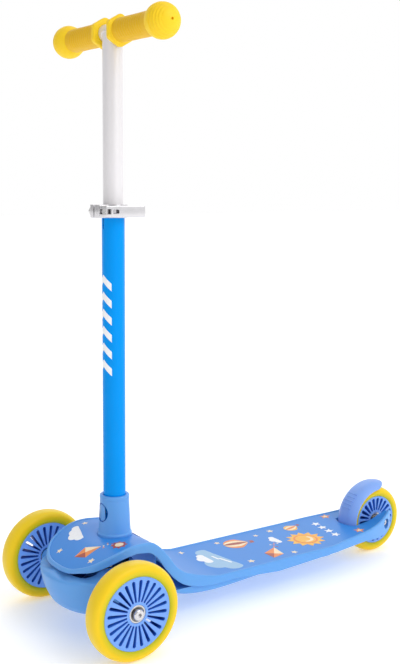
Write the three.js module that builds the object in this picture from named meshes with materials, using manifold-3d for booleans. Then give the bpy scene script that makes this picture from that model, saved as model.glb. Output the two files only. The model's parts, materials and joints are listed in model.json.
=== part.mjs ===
// Three wheel kids scooter, in millimetres. X points forward, Y to the rider's left, Z up.
// The floor is Z = 0, and the middle of the overall length is X = 0.
import * as THREE from 'three';
import { mergeVertices } from 'three/addons/utils/BufferGeometryUtils.js';
import Module from 'manifold-3d';

const wasm = await Module();
wasm.setup();

// Clearances
const fitGap = 0.3;
const overrun = 2;

// Wheels and their places
const wheelbase = 500;
const frontWheelDiameter = 120;
const rearWheelDiameter = 100;
const frontTrack = 233.4;
const tyreWidth = 26;
const frontAxleX = (wheelbase + (rearWheelDiameter - frontWheelDiameter) / 2) / 2;
const rearAxleX = frontAxleX - wheelbase;
const frontAxleHeight = frontWheelDiameter / 2;
const rearAxleHeight = rearWheelDiameter / 2;

// Wheel hubs
const frontHubDiameter = 89.4;
const rearHubDiameter = 72.4;
const hubWidth = 24;
const hubBossRadius = 14.5;
const hubRimWall = 3.6;
const slotCount = 24;
const slotWidth = 3;
const hubChamfer = 0.8;

// Ball bearings, bolts and nuts
const bearingDiameter = 22;
const bearingWidth = 7;
const bearingInset = 0.5;
const axleDiameter = 8;
const axleHeadDiameter = 14;
const axleHeadHeight = 5;
const axleNutAcross = 13;
const axleNutHeight = 6.5;
const screwDiameter = 3;
const screwHeadDiameter = 6;
const screwHeadHeight = 2.2;
const axleSocketAcross = 5;
const axleSocketDepth = 3;
const raceWall = 2.2;
const shieldDepth = 0.5;

// Deck
const deckHeight = 48.5;
const deckHalfWidth = 61.3;
const plateThickness = 4.2;
const wallThickness = 3.5;
const matThickness = 1.7;
const matMargin = 3.5;
const rampFootSetback = 170;
const tailStartAhead = 130;
const tailLength = 144;
const tailRise = 19.3;
const wheelSlotHalfWidth = 20.5;
const wheelSlotLength = 76.5;
const ribThickness = 3;
const ribSpacing = 44;
const ribDepth = 5;
const neckBossRadius = 26;
const neckBossDepth = 6;
const deckScrewInset = 30;
const deckScrewY = 36;
const deckBossRadius = 5.5;
const dropoutRadius = 12;
const dropoutWall = 4.5;

// Nose
const crestSetback = 38;
const crestHeight = 117.2;
const noseReach = 80.2;
const noseDrop = 29.3;
const noseHalfWidth = 67.3;
const noseEdgeDepth = 11.7;
const matSeamSetback = 36;
const matSeamGap = 2;
const matCornerRadius = 5;
const matTailGap = 3;

// Under shell
const underShellFront = 98;
const underShellRearGap = 2;
const underShellBottom = 28;
const underShellWall = 2.5;
const underScrewSink = 5.5;

// Neck and column
const columnSetback = 43.5;
const neckTop = 166;
const neckSeat = 108;
const neckTopRadius = 18.9;
const neckBaseRadius = 20.4;
const neckFlangeRadius = 22.3;
const neckFlangeHeight = 10;
const neckScrewRadius = 18;
const neckScrewReach = 10;
const lowerTubeDiameter = 28.8;
const upperTubeDiameter = 25.2;
const tubeWall = 1.5;
const lowerTubeTop = 535;
const upperTubeLength = 416;
const tubeSlotLength = 28;
const tubeSlotWidth = 3;

// Release button and snap pin
const buttonHeight = 144;
const buttonLength = 22;
const buttonWidth = 15;
const buttonHeadThickness = 1.8;
const buttonTravel = 3;
const buttonPocketDepth = 3.2;
const snapPinDiameter = 6.4;
const snapPinGrip = 2.4;
const snapCollarDiameter = 10;
const snapCollarThickness = 2;

// Clamp
const clampBottom = 521;
const clampHeight = 16.5;
const clampWall = 3.4;
const clampEarReach = 28;
const clampEarHalfWidth = 11;
const clampSlitWidth = 2.6;
const clampBoltReach = 21.5;
const clampBoltDiameter = 5;
const clampNutAcross = 9;
const clampNutHeight = 5;
const leverLobeRadius = 7;
const leverHeight = 14;
const leverLength = 49;
const leverThickness = 5;
const leverEndFlare = 9;
const leverSlotHeight = 6.4;
const leverWindowLength = 8.5;
const leverWindowHeight = 5;
const leverWindowReach = 11;
const barrelDiameter = 8;

// Handlebar
const handlebarHeight = 748;
const handlebarWidth = 270;
const crossbarDiameter = 22.2;
const gripFlangeStart = 15;
const gripFlangeWidth = 7;
const gripFlangeAcross = 35.5;
const gripDiameter = 30;
const gripBulbDiameter = 43;
const gripEndHole = 5;
const gripEndWall = 5;

// Steering pivot
const pivotAngle = THREE.MathUtils.degToRad(45);
const pivotSetback = 8;
const pivotHeight = 60;
const kingpinDiameter = 10;
const kingpinNutAcross = 16;
const kingpinNutHeight = 8;
const kingpinHeadAcross = 16;
const kingpinHeadHeight = 6;
const kingpinThread = 2.5;
const pivotBarrelLength = 34;
const pivotBarrelRadius = 13;
const bushWall = 2.4;
const bushFlangeThickness = 2;
const bushFlangeRadius = 11;
const lugThickness = 10;
const lugHalfWidth = 13;

// Steering bracket and springs
const bracketThickness = 3.5;
const bracketHalfWidth = 44;
const bracketFront = 7;
const bracketRear = 68;
const springOffset = 34;
const springSetback = 14;
const springDiameter = 14;
const springWire = 2.2;
const springSeatHeight = 74;
const springPegHeight = 5;

// Front truck housing
const bowlTop = 86;
const bowlBottom = 25;
const bowlHalfWidth = 80.5;
const bowlFrontReach = 56;
const bowlRearReach = 52;
const bowlMiddleSetback = 20;
const bowlWall = 3.5;
const bowlShoulderSlope = THREE.MathUtils.degToRad(9);
const bowlShoulderStart = 18;
const bowlNoseGap = 5;
const bowlOpeningHalfWidth = 49;
const bowlOpeningFront = 34;
const bowlOpeningRear = 46;
const axleBeamRadius = 11;
const axleBeamGap = 1.5;
const axleBoreStart = 44;
const axleTipRadius = 6.2;
const nutPocketStart = 52;

// Brake fender
const fenderInnerRadius = 54.5;
const fenderThickness = 3.2;
const fenderSetback = 1;
const fenderRaise = 1.5;
const fenderSideGap = 1.1;
const fenderSideDrop = 7.5;
const fenderSpan = THREE.MathUtils.degToRad(105.5);
const fenderPivotAhead = 57;
const fenderPivotDrop = 8;
const fenderPinDiameter = 4;
const fenderBarrelRadius = 4.6;
const fenderBarrelWidth = 12;
const fenderSpringDiameter = 9;
const rearSpacerDiameter = 12;

// Round stretches
const wheelSteps = 32;
const roundSteps = 20;
const smallSteps = 12;

// Colours
const skyBlue = 0x64a5eb;
const hubBlue = 0x6ba3f0;
const azure = 0x0091eb;
const periwinkle = 0x8caaf0;
const matBlue = 0x5f90dc;
const tyreYellow = 0xeec814;
const gripYellow = 0xf0c832;
const steelGrey = 0xc8cad0;
const silver = 0xe1dce1;
const darkBlue = 0x2b5fae;

function material(color, roughness, metalness) {
  return new THREE.MeshStandardMaterial({ color, roughness, metalness });
}

const plastic = material(skyBlue, 0.35, 0);
const hubPlastic = material(hubBlue, 0.35, 0);
const darkPlastic = material(darkBlue, 0.5, 0);
const fenderPlastic = material(periwinkle, 0.35, 0);
const matFoam = material(matBlue, 0.5, 0);
const tyreRubber = material(tyreYellow, 0.4, 0);
const gripRubber = material(gripYellow, 0.6, 0);
const steel = material(steelGrey, 0.25, 1);
const paintedTube = material(azure, 0.2, 0.3);
const satinTube = material(silver, 0.4, 0.6);

// Closed geometry to manifold solid and back
function signedVolume(positions, triangles) {
  let sum = 0;
  const corners = [new THREE.Vector3(), new THREE.Vector3(), new THREE.Vector3()];
  for (let i = 0; i < triangles.length; i += 3) {
    corners.forEach((corner, k) => corner.fromArray(positions, 3 * triangles[i + k]));
    sum += corners[0].dot(corners[1].cross(corners[2]));
  }
  return sum;
}

function solid(geometry) {
  geometry.deleteAttribute('normal');
  geometry.deleteAttribute('uv');
  const merged = mergeVertices(geometry);
  const vertProperties = new Float32Array(merged.attributes.position.array);
  const index = merged.index.array;
  const triangles = [];
  for (let i = 0; i < index.length; i += 3) {
    const [a, b, c] = [index[i], index[i + 1], index[i + 2]];
    if (a !== b && b !== c && c !== a) triangles.push(a, b, c);
  }
  if (signedVolume(vertProperties, triangles) < 0) triangles.reverse();
  const triVerts = new Uint32Array(triangles);
  return new wasm.Manifold(new wasm.Mesh({ numProp: 3, vertProperties, triVerts }));
}

function geometryOf(body) {
  const mesh = body.getMesh();
  const geometry = new THREE.BufferGeometry();
  geometry.setAttribute('position', new THREE.BufferAttribute(new Float32Array(mesh.vertProperties), 3));
  geometry.setIndex(new THREE.BufferAttribute(new Uint32Array(mesh.triVerts), 1));
  geometry.computeVertexNormals();
  return geometry;
}

function join(...bodies) {
  return bodies.reduce((sum, body) => sum.add(body));
}

function cut(body, ...cutters) {
  return cutters.reduce((rest, cutter) => rest.subtract(cutter), body);
}

// Basic forms. A profile is a list of [radius, place along the axis].
function turnedY(profile, steps = roundSteps) {
  const points = profile.map(([radius, along]) => new THREE.Vector2(radius, along));
  return new THREE.LatheGeometry(points, steps);
}

function turnedZ(profile, steps) {
  return turnedY(profile, steps).rotateX(Math.PI / 2);
}

function rod(radius, start, end) {
  return [[0, start], [radius, start], [radius, end], [0, end]];
}

function ring(inner, outer, start, end) {
  return [[inner, start], [outer, start], [outer, end], [inner, end], [inner, start]];
}

function upright(radius, bottom, top, x, y, steps = smallSteps) {
  return solid(turnedZ(rod(radius, bottom, top), steps).translate(x, y, 0));
}

function across(radius, right, left, x, z, steps = smallSteps) {
  return solid(turnedY(rod(radius, right, left), steps).translate(x, 0, z));
}

// A prism of an outline in X and Y, from bottom to top
function planPrism(outline, bottom, top) {
  const shape = new THREE.Shape(outline.map(([x, y]) => new THREE.Vector2(x, y)));
  const geometry = new THREE.ExtrudeGeometry(shape, { depth: top - bottom, bevelEnabled: false });
  return geometry.translate(0, 0, bottom);
}

// A prism of an outline in X and Z, from one side to the other along Y
function sidePrism(outline, right, left) {
  return planPrism(outline, -left, -right).rotateX(Math.PI / 2);
}

// A prism of an outline in Y and Z, from rear to front along X
function frontPrism(outline, rear, front) {
  return planPrism(outline, rear, front).rotateX(Math.PI / 2).rotateZ(Math.PI / 2);
}

function block(x0, x1, y0, y1, z0, z1) {
  const geometry = new THREE.BoxGeometry(x1 - x0, y1 - y0, z1 - z0);
  return geometry.translate((x0 + x1) / 2, (y0 + y1) / 2, (z0 + z1) / 2);
}

function hexagon(across) {
  const radius = across / Math.sqrt(3);
  return Array.from({ length: 6 }, (_, i) => {
    const turn = (i * Math.PI) / 3;
    return [radius * Math.cos(turn), radius * Math.sin(turn)];
  });
}

// A long hole with round ends, centred on its place
function stadium(length, width, x = 0, y = 0, turn = 0) {
  const points = [];
  const steps = 2;
  const reach = (length - width) / 2;
  for (const side of [1, -1]) {
    for (let i = 0; i <= steps; i += 1) {
      const angle = ((i / steps - 1 / 2) * Math.PI) + (side < 0 ? Math.PI : 0);
      points.push([side * reach + (width / 2) * Math.cos(angle), (width / 2) * Math.sin(angle)]);
    }
  }
  const [c, s] = [Math.cos(turn), Math.sin(turn)];
  return points.map(([a, b]) => [x + a * c - b * s, y + a * s + b * c]);
}

// A closed skin through sections that all have the same number of points. A section is a flat outline,
// and its frame turns each outline point into a place.
function loft(sections, frames) {
  const count = sections[0].length;
  const positions = [];
  const index = [];
  sections.forEach((section, k) => {
    section.forEach(([a, b]) => positions.push(...frames[k](a, b)));
  });
  for (let k = 0; k + 1 < sections.length; k += 1) {
    for (let i = 0; i < count; i += 1) {
      const j = (i + 1) % count;
      const [a, b, c, d] = [k * count + i, k * count + j, (k + 1) * count + j, (k + 1) * count + i];
      index.push(a, b, c, a, c, d);
    }
  }
  const addCap = (section, first, facesOut) => {
    const outline = section.map(([a, b]) => new THREE.Vector2(a, b));
    const ahead = (THREE.ShapeUtils.area(outline) > 0) === facesOut;
    for (const [a, b, c] of THREE.ShapeUtils.triangulateShape(outline, [])) {
      index.push(first + a, first + (ahead ? b : c), first + (ahead ? c : b));
    }
  };
  addCap(sections[0], 0, false);
  addCap(sections.at(-1), (sections.length - 1) * count, true);
  const geometry = new THREE.BufferGeometry();
  geometry.setAttribute('position', new THREE.BufferAttribute(new Float32Array(positions), 3));
  geometry.setIndex(index);
  return geometry;
}

function smooth(points, count) {
  return new THREE.SplineCurve(points.map(([x, y]) => new THREE.Vector2(x, y)))
    .getPoints(count).map((point) => [point.x, point.y]);
}

// Assembly
const scooter = new THREE.Group();

function addPiece(name, body, finish, parent = scooter) {
  const mesh = new THREE.Mesh(geometryOf(body), finish);
  mesh.name = name;
  parent.add(mesh);
  return mesh;
}

function addGroup(x, y, z) {
  const group = new THREE.Group();
  group.position.set(x, y, z);
  scooter.add(group);
  return group;
}

// Height of the deck's and nose's top surface along the scooter
const rampShares = [[0, 0], [0.1, 0.035], [0.24, 0.105], [0.38, 0.195], [0.48, 0.303], [0.55, 0.44],
  [0.62, 0.625], [0.69, 0.78], [0.76, 0.9], [0.83, 0.966], [1, 1]];
const noseShares = [[0, 0], [0.2, 0.05], [0.4, 0.198], [0.6, 0.42], [0.8, 0.69], [1, 1]];
const tailShares = [[0, 0], [0.08, 0.03], [0.16, 0.09], [0.33, 0.155], [0.5, 0.22], [0.62, 0.29], [0.74, 0.415],
  [0.85, 0.65], [0.93, 0.85], [1, 1]];
const noseSteps = 10;
const tailSteps = 9;
const columnX = frontAxleX - columnSetback;
const crestX = frontAxleX - crestSetback;
const rampFootX = frontAxleX - rampFootSetback;
const tailStartX = rearAxleX + tailStartAhead;
const tailEndX = tailStartX - tailLength;

function topLine(drop = 0) {
  const tail = smooth(tailShares, tailSteps).map(([along, rise]) => (
    [tailStartX - along * tailLength, deckHeight + rise * tailRise]));
  const ramp = smooth(rampShares, 10).map(([along, rise]) => (
    [rampFootX + along * (crestX - rampFootX), deckHeight + rise * (crestHeight - deckHeight)]));
  const nose = smooth(noseShares, noseSteps).slice(1).map(([along, fall]) => (
    [crestX + along * noseReach, crestHeight - fall * noseDrop]));
  return [...tail.reverse(), ...ramp, ...nose].map(([x, z]) => [x, z - drop]);
}

function heightOn(line, x) {
  const last = line.findIndex((point) => point[0] >= x);
  const [right, left] = [line[last], line[Math.max(last - 1, 0)]];
  if (right === left) return right[1];
  return left[1] + ((right[1] - left[1]) * (x - left[0])) / (right[0] - left[0]);
}

// Lower edge of the nose, which is thin at its tip and as deep as the side band at the crest
const noseEdgeShares = [[0, 1], [0.25, 0.96], [0.46, 0.91], [0.6, 0.83], [0.71, 0.74], [0.81, 0.57],
  [0.89, 0.42], [1, 0.35]];

function noseEdgeLine(drop = 0) {
  const depths = noseEdgeShares.map(([along, depth]) => [crestX + along * noseReach, depth * noseEdgeDepth]);
  return topLine(drop).filter(([x]) => x >= crestX).map(([x, z]) => [x, z - heightOn(depths, x)]);
}

// Lower edge of the side band: places as shares of the ramp, and heights as shares of the crest height
const bandRampShares = [[-0.2, 0.328], [0, 0.323], [0.215, 0.338], [0.33, 0.367], [0.444, 0.416],
  [0.534, 0.489], [0.605, 0.573], [0.667, 0.66], [0.72, 0.746], [0.776, 0.817], [0.84, 0.867], [0.93, 0.886]];
const bandTailShares = [[0, 0.77], [0.17, 0.775], [0.34, 0.79], [0.5, 0.785], [0.59, 0.757], [0.67, 0.722],
  [0.757, 0.7], [0.84, 0.72], [0.93, 0.76], [1, 0.86]];
const bandMiddleShare = 0.67;

function bandLine() {
  const tail = smooth(bandTailShares, tailSteps).map(([along, height]) => (
    [tailStartX - along * tailLength, deckHeight * height])).reverse();
  const middle = [(tailStartX + rampFootX) / 2, deckHeight * bandMiddleShare];
  const ramp = smooth(bandRampShares, 11).map(([along, height]) => (
    [rampFootX + along * (crestX - rampFootX), crestHeight * height]));
  return [...tail, middle, ...ramp, ...noseEdgeLine()];
}

// Outline of deck and nose from above, from the nose tip along the left side to the tail end
const noseOutlineShares = [[1, 0], [0.995, 0.2], [0.97, 0.4], [0.92, 0.56], [0.845, 0.705], [0.74, 0.84],
  [0.6, 0.93], [0.44, 0.983], [0.27, 1], [0.1, 0.983], [-0.08, 0.94], [-0.25, 0.921]];
const tailOutlineShares = [[0, 1], [0.08, 0.983], [0.16, 0.952], [0.33, 0.907], [0.5, 0.845], [0.62, 0.79],
  [0.74, 0.71], [0.85, 0.63], [0.93, 0.555], [1, 0.465]];

function sideOutline(inset = 0) {
  const nose = smooth(noseOutlineShares, 12).map(([along, across]) => (
    [crestX + along * noseReach, across * noseHalfWidth]));
  const tail = smooth(tailOutlineShares, tailSteps).map(([along, across]) => (
    [tailStartX - along * tailLength, across * deckHalfWidth]));
  const line = [...nose, [rampFootX, deckHalfWidth], ...tail];
  return line.map(([x, y], i) => {
    const before = line[Math.max(i - 1, 0)];
    const after = line[Math.min(i + 1, line.length - 1)];
    const run = new THREE.Vector2(after[0] - before[0], after[1] - before[1]);
    if (i === 0) run.set(0, 1);
    run.normalize();
    return [x - inset * run.y, y + inset * run.x];
  });
}

function bothSides(line) {
  const right = line.slice(1).reverse().map(([x, y]) => [x, -y]);
  return [...right, ...line];
}

function band(upper, lower) {
  return sidePrism([...upper, ...lower.slice().reverse()], -noseHalfWidth - overrun, noseHalfWidth + overrun);
}

function wheelSlot(grow = 0) {
  const front = tailEndX + wheelSlotLength + grow;
  return solid(block(tailEndX - overrun, front, -wheelSlotHalfWidth - grow, wheelSlotHalfWidth + grow,
    -overrun, crestHeight));
}

// Mats, and the recesses that hold them
function matOutlines(grow = 0) {
  const line = sideOutline(matMargin - grow);
  const seamX = crestX - matSeamSetback;
  const noseRear = seamX + matSeamGap / 2 - grow;
  const nose = line.filter(([x]) => x > noseRear);
  const noseOutline = bothSides([...nose, [noseRear, nose.at(-1)[1]]]);
  const front = seamX - matSeamGap / 2 + grow;
  const side = deckHalfWidth - matMargin + grow;
  const cornerSteps = 4;
  const corner = Array.from({ length: cornerSteps + 1 }, (_, i) => {
    const turn = (i / cornerSteps) * (Math.PI / 2);
    return [front - matCornerRadius * (1 - Math.cos(turn)), side - matCornerRadius * (1 - Math.sin(turn))];
  });
  const tailLimit = tailEndX + matTailGap - grow;
  const tail = line.filter(([x]) => x < front - matCornerRadius - overrun && x > tailLimit);
  const deckOutline = bothSides([[front, 0], ...corner, ...tail, [tailLimit, tail.at(-1)[1] - overrun]]);
  return [noseOutline, deckOutline];
}

function matSolids(grow, top, bottom) {
  const layer = solid(band(topLine(top), topLine(bottom)));
  const neck = upright(neckFlangeRadius + fitGap - grow, 0, neckTop, columnX, 0, roundSteps);
  const [noseOutline, deckOutline] = matOutlines(grow);
  const [nose, deck] = [noseOutline, deckOutline].map((outline) => (
    layer.intersect(solid(planPrism(outline, 0, neckTop)))));
  return [cut(nose, neck), cut(deck, wheelSlot(matMargin / 2 - grow))];
}

// Deck shell
const deckFloor = deckHeight - matThickness - plateThickness;
const screwHoleRadius = screwDiameter / 2 + fitGap;
const boreRadius = axleDiameter / 2 + fitGap;
const bracketTop = neckSeat - neckBossDepth - fitGap;
const bracketBottom = bracketTop - bracketThickness;
const fenderPivotX = rearAxleX + fenderPivotAhead;
const fenderPivotZ = rearAxleHeight - fenderPivotDrop;
const dropoutReach = wheelSlotHalfWidth + dropoutWall;

const deckScrewPlaces = [rampFootX - deckScrewInset, tailStartX + deckScrewInset].flatMap((x) => (
  [[x, deckScrewY], [x, -deckScrewY]]));

const neckScrewPlaces = [1, 3, 5, 7].map((eighth) => {
  const turn = (eighth * Math.PI) / 4;
  return [columnX + neckScrewRadius * Math.cos(turn), neckScrewRadius * Math.sin(turn)];
});

// A plate with a skirt, ribs and bosses below, a slot and dropouts for the rear wheel, and a neck seat
function deckShell() {
  const outer = solid(planPrism(bothSides(sideOutline()), 0, neckTop));
  const inner = solid(planPrism(bothSides(sideOutline(wallThickness)), 0, neckTop));
  const sideBand = solid(band(topLine(), bandLine()));
  const depth = matThickness + plateThickness;
  const tip = noseEdgeLine();
  const under = topLine(depth).map(([x, z]) => [x, x > crestX ? Math.max(z, heightOn(tip, x)) : z]);
  const plate = outer.intersect(solid(band(topLine(), under)));
  const skirt = cut(outer, inner).intersect(sideBand);
  const slotWalls = cut(wheelSlot(dropoutWall), wheelSlot()).intersect(inner).intersect(sideBand);
  const dropouts = across(dropoutRadius, -dropoutReach, dropoutReach, rearAxleX, rearAxleHeight, roundSteps);
  const cheekRadius = fenderBarrelRadius + wallThickness;
  const cheeks = across(cheekRadius, -dropoutReach, dropoutReach, fenderPivotX, fenderPivotZ, roundSteps);
  const ribBottom = deckFloor - ribDepth;
  const rootTop = deckFloor + plateThickness / 2;
  const ribRear = underShellRearX + underShellWall + fitGap;
  const ribs = [-1, 1].map((side) => solid(block(
    ribRear, rampFootX, (side * ribSpacing - ribThickness) / 2, (side * ribSpacing + ribThickness) / 2,
    ribBottom, rootTop,
  )));
  const neckBoss = upright(neckBossRadius, neckSeat - neckBossDepth, neckSeat, columnX, 0, roundSteps);
  const bosses = deckScrewPlaces.map(([x, y]) => upright(deckBossRadius, ribBottom, rootTop, x, y));
  const shell = join(plate, skirt, slotWalls, dropouts, cheeks, ...ribs, neckBoss, ...bosses);
  const neckPocket = upright(neckFlangeRadius + fitGap, neckSeat, neckTop, columnX, 0, roundSteps);
  const neckHoles = neckScrewPlaces.map(([x, y]) => upright(screwHoleRadius, bracketTop, neckTop, x, y));
  const screwHoles = deckScrewPlaces.map(([x, y]) => upright(screwHoleRadius, 0, deckFloor, x, y));
  const axleHole = across(boreRadius, -deckHalfWidth, deckHalfWidth, rearAxleX, rearAxleHeight);
  const headRadius = axleHeadDiameter / 2 + fitGap * 2;
  const leftRoom = across(headRadius, dropoutReach, deckHalfWidth, rearAxleX, rearAxleHeight);
  const rightRoom = across(headRadius, -deckHalfWidth, -dropoutReach, rearAxleX, rearAxleHeight);
  const pinReach = dropoutReach + overrun;
  const pinHole = across(fenderPinDiameter / 2 + fitGap, -pinReach, pinReach, fenderPivotX, fenderPivotZ);
  return cut(shell, ...matSolids(fitGap, -overrun, matThickness + fitGap), wheelSlot(), neckPocket,
    ...neckHoles, ...screwHoles, axleHole, leftRoom, rightRoom, pinHole);
}

// Under shell: a tray below the front of the deck
const underShellShares = [[0, 1.38], [0.067, 1.16], [0.156, 1.04], [0.267, 1], [0.4, 1.06], [0.556, 1.16]];
const underScrewSeat = underShellBottom + underScrewSink;
const underShellFrontX = frontAxleX - underShellFront;
const underShellRearX = tailStartX + underShellRearGap;
const underShellLength = underShellFrontX - underShellRearX;

function underShellLine(raise = 0) {
  const line = [...smooth(underShellShares, 8), [1, underShellShares.at(-1)[1]]];
  return line.map(([along, height]) => (
    [underShellFrontX - along * underShellLength, underShellBottom * height + raise])).reverse();
}

function tray(line, halfWidth, top) {
  const outline = [...line, [line.at(-1)[0], top], [line[0][0], top]];
  return solid(sidePrism(outline, -halfWidth, halfWidth));
}

function underShell() {
  const half = deckHalfWidth - wallThickness - fitGap;
  const outer = tray(underShellLine(), half, deckFloor - fitGap);
  const [rear, front] = [underShellLine()[0][0], underShellLine().at(-1)[0]];
  const innerLine = underShellLine(underShellWall).map(([x, z]) => (
    [THREE.MathUtils.clamp(x, rear + underShellWall, front - underShellWall), z]));
  const inner = tray(innerLine, half - underShellWall, deckHeight);
  const cupTop = deckFloor - ribDepth - fitGap;
  const cups = deckScrewPlaces.map(([x, y]) => (
    upright(deckBossRadius + underShellWall, underShellBottom, cupTop, x, y).intersect(outer)));
  const holes = deckScrewPlaces.map(([x, y]) => upright(screwHoleRadius, 0, deckHeight, x, y));
  const sinkRadius = screwHeadDiameter / 2 + fitGap;
  const sinks = deckScrewPlaces.map(([x, y]) => upright(sinkRadius, 0, underScrewSeat, x, y));
  return cut(join(cut(outer, inner), ...cups), ...holes, ...sinks);
}

// Screws and bolts: the head lies below zero and the shank points up
function panScrew(length) {
  const head = turnedZ([
    [0, -screwHeadHeight], [screwHeadDiameter / 2, -screwHeadHeight], [screwHeadDiameter / 2, 0],
    [screwDiameter / 2, 0], [screwDiameter / 2, length], [0, length],
  ], smallSteps);
  const crossHalf = screwDiameter / 6;
  const crossReach = screwDiameter / 2;
  const crossTop = -screwHeadHeight / 2;
  const cross = [0, Math.PI / 2].map((turn) => solid(block(
    -crossReach, crossReach, -crossHalf, crossHalf, -screwHeadHeight - overrun, crossTop,
  ).rotateZ(turn)));
  return cut(solid(head), ...cross);
}

function axleBolt(length) {
  const chamfer = axleHeadHeight / 4;
  const body = turnedZ([
    [0, -axleHeadHeight], [axleHeadDiameter / 2 - chamfer, -axleHeadHeight],
    [axleHeadDiameter / 2, chamfer - axleHeadHeight], [axleHeadDiameter / 2, 0], [axleDiameter / 2, 0],
    [axleDiameter / 2, length], [0, length],
  ], roundSteps);
  const socket = planPrism(hexagon(axleSocketAcross), -axleHeadHeight - overrun,
    axleSocketDepth - axleHeadHeight);
  return cut(solid(body), solid(socket));
}

function axleNut() {
  const hole = upright(boreRadius, -overrun, axleNutHeight + overrun, 0, 0);
  return cut(solid(planPrism(hexagon(axleNutAcross), 0, axleNutHeight)), hole);
}

// Wheels
const bearingRadius = bearingDiameter / 2;
const seatDepth = bearingWidth + bearingInset;

function bearing() {
  const half = bearingWidth / 2;
  return solid(turnedY([
    [boreRadius, -half], [bearingRadius, -half], [bearingRadius, half], [bearingRadius - raceWall, half],
    [bearingRadius - raceWall, half - shieldDepth], [boreRadius + raceWall, half - shieldDepth],
    [boreRadius + raceWall, half], [boreRadius, half], [boreRadius, -half],
  ], smallSteps));
}

function hub(diameter) {
  const half = hubWidth / 2;
  const outer = diameter / 2;
  const innerBore = bearingRadius - raceWall;
  const seat = bearingRadius + fitGap;
  const body = solid(turnedY([
    [innerBore, seatDepth - half], [seat, seatDepth - half], [seat, -half], [outer - hubChamfer, -half],
    [outer, hubChamfer - half], [outer, half - hubChamfer], [outer - hubChamfer, half], [seat, half],
    [seat, half - seatDepth], [innerBore, half - seatDepth], [innerBore, seatDepth - half],
  ], wheelSteps));
  const slotLength = outer - hubRimWall - hubBossRadius;
  const middle = hubBossRadius + slotLength / 2;
  const slots = Array.from({ length: slotCount }, (_, i) => {
    const turn = (i * 2 * Math.PI) / slotCount;
    const outline = stadium(slotLength, slotWidth, middle * Math.cos(turn), middle * Math.sin(turn), turn);
    return solid(sidePrism(outline, -half - overrun, half + overrun));
  });
  return cut(body, ...slots);
}

const tyreSideShares = [[0, 0.86], [0.35, 1], [0.7, 0.92], [0.92, 0.62], [1, 0.22]];

function tyre(wheelDiameter, hubDiameter) {
  const inner = hubDiameter / 2 + fitGap;
  const depth = wheelDiameter / 2 - inner;
  const side = tyreSideShares.map(([out, wide]) => [inner + out * depth, (wide * tyreWidth) / 2]);
  const profile = [...side, ...side.slice().reverse().map(([radius, y]) => [radius, -y])];
  return solid(turnedY([...profile, profile[0]], wheelSteps));
}

function addWheel(name, wheelDiameter, hubDiameter, x, y, z) {
  const wheel = addGroup(x, y, z);
  const outward = Math.sign(y) || 1;
  const bearingPlace = hubWidth / 2 - bearingInset - bearingWidth / 2;
  addPiece(`${name}_tyre`, tyre(wheelDiameter, hubDiameter), tyreRubber, wheel);
  addPiece(`${name}_hub`, hub(hubDiameter), hubPlastic, wheel);
  for (const [label, side] of [['outer', outward], ['inner', -outward]]) {
    const piece = addPiece(`${name}_bearing_${label}`, bearing(), steel, wheel);
    piece.position.y = side * bearingPlace;
    piece.rotation.x = side > 0 ? 0 : Math.PI;
  }
  const sleeveHalf = hubWidth / 2 - seatDepth - fitGap;
  const sleeve = ring(boreRadius, boreRadius + raceWall, -sleeveHalf, sleeveHalf);
  addPiece(`${name}_bearing_sleeve`, solid(turnedY(sleeve, smallSteps)), steel, wheel);
}

// Neck, release button and snap pin. They are made round the column's axis.
const socketRadius = lowerTubeDiameter / 2 + fitGap;
const tubeBottom = neckSeat + fitGap;
const neckScrewTip = neckSeat + neckScrewReach;

function neckRadiusAt(z) {
  const foot = neckSeat + neckFlangeHeight;
  return neckBaseRadius + ((neckTopRadius - neckBaseRadius) * (z - foot)) / (neckTop - foot);
}

const neckFaceX = neckRadiusAt(buttonHeight);
const pocketFloorX = neckFaceX - buttonPocketDepth;
const pinTipX = lowerTubeDiameter / 2 + snapPinGrip;
const pinCollarX = lowerTubeDiameter / 2 - tubeWall - snapCollarThickness;

// A socket with a flange, a pocket for the button and blind screw holes in its foot
function neckSocket() {
  const base = neckSeat + fitGap;
  const foot = neckSeat + neckFlangeHeight;
  const round = (neckFlangeRadius - neckBaseRadius) / 2;
  const body = solid(turnedZ([
    [socketRadius, base], [neckFlangeRadius, base], [neckFlangeRadius, foot - round],
    [neckFlangeRadius - round / 2, foot], [neckBaseRadius, foot + round / 2],
    [neckTopRadius, neckTop - round / 2], [neckTopRadius - round / 2, neckTop], [socketRadius, neckTop],
    [socketRadius, base],
  ], wheelSteps));
  const room = fitGap * 2;
  const outline = stadium(buttonLength + room, buttonWidth + room, 0, buttonHeight, Math.PI / 2);
  const pocket = solid(frontPrism(outline, pocketFloorX, neckFaceX + overrun));
  const pinHole = alongX(snapPinDiameter / 2 + fitGap, 0, neckFaceX);
  const screwHoles = neckScrewPlaces.map(([x, y]) => (
    upright(screwHoleRadius, 0, neckScrewTip + fitGap, x - columnX, y)));
  return cut(body, pocket, pinHole, ...screwHoles);
}

function alongX(radius, rear, front) {
  const geometry = turnedZ(rod(radius, rear, front), smallSteps).rotateY(Math.PI / 2);
  return solid(geometry.translate(0, 0, buttonHeight));
}

function releaseButton() {
  const headBack = pocketFloorX + buttonTravel + fitGap / 2;
  const outline = stadium(buttonLength, buttonWidth, 0, buttonHeight, Math.PI / 2);
  const head = solid(frontPrism(outline, headBack, headBack + buttonHeadThickness));
  return join(head, alongX(snapPinDiameter / 2, pinTipX + fitGap, headBack + buttonHeadThickness / 2));
}

function snapPin() {
  const collar = alongX(snapCollarDiameter / 2, pinCollarX, pinCollarX + snapCollarThickness / 2);
  return join(collar, alongX(snapPinDiameter / 2, pinCollarX + snapCollarThickness / 4, pinTipX));
}

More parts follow.
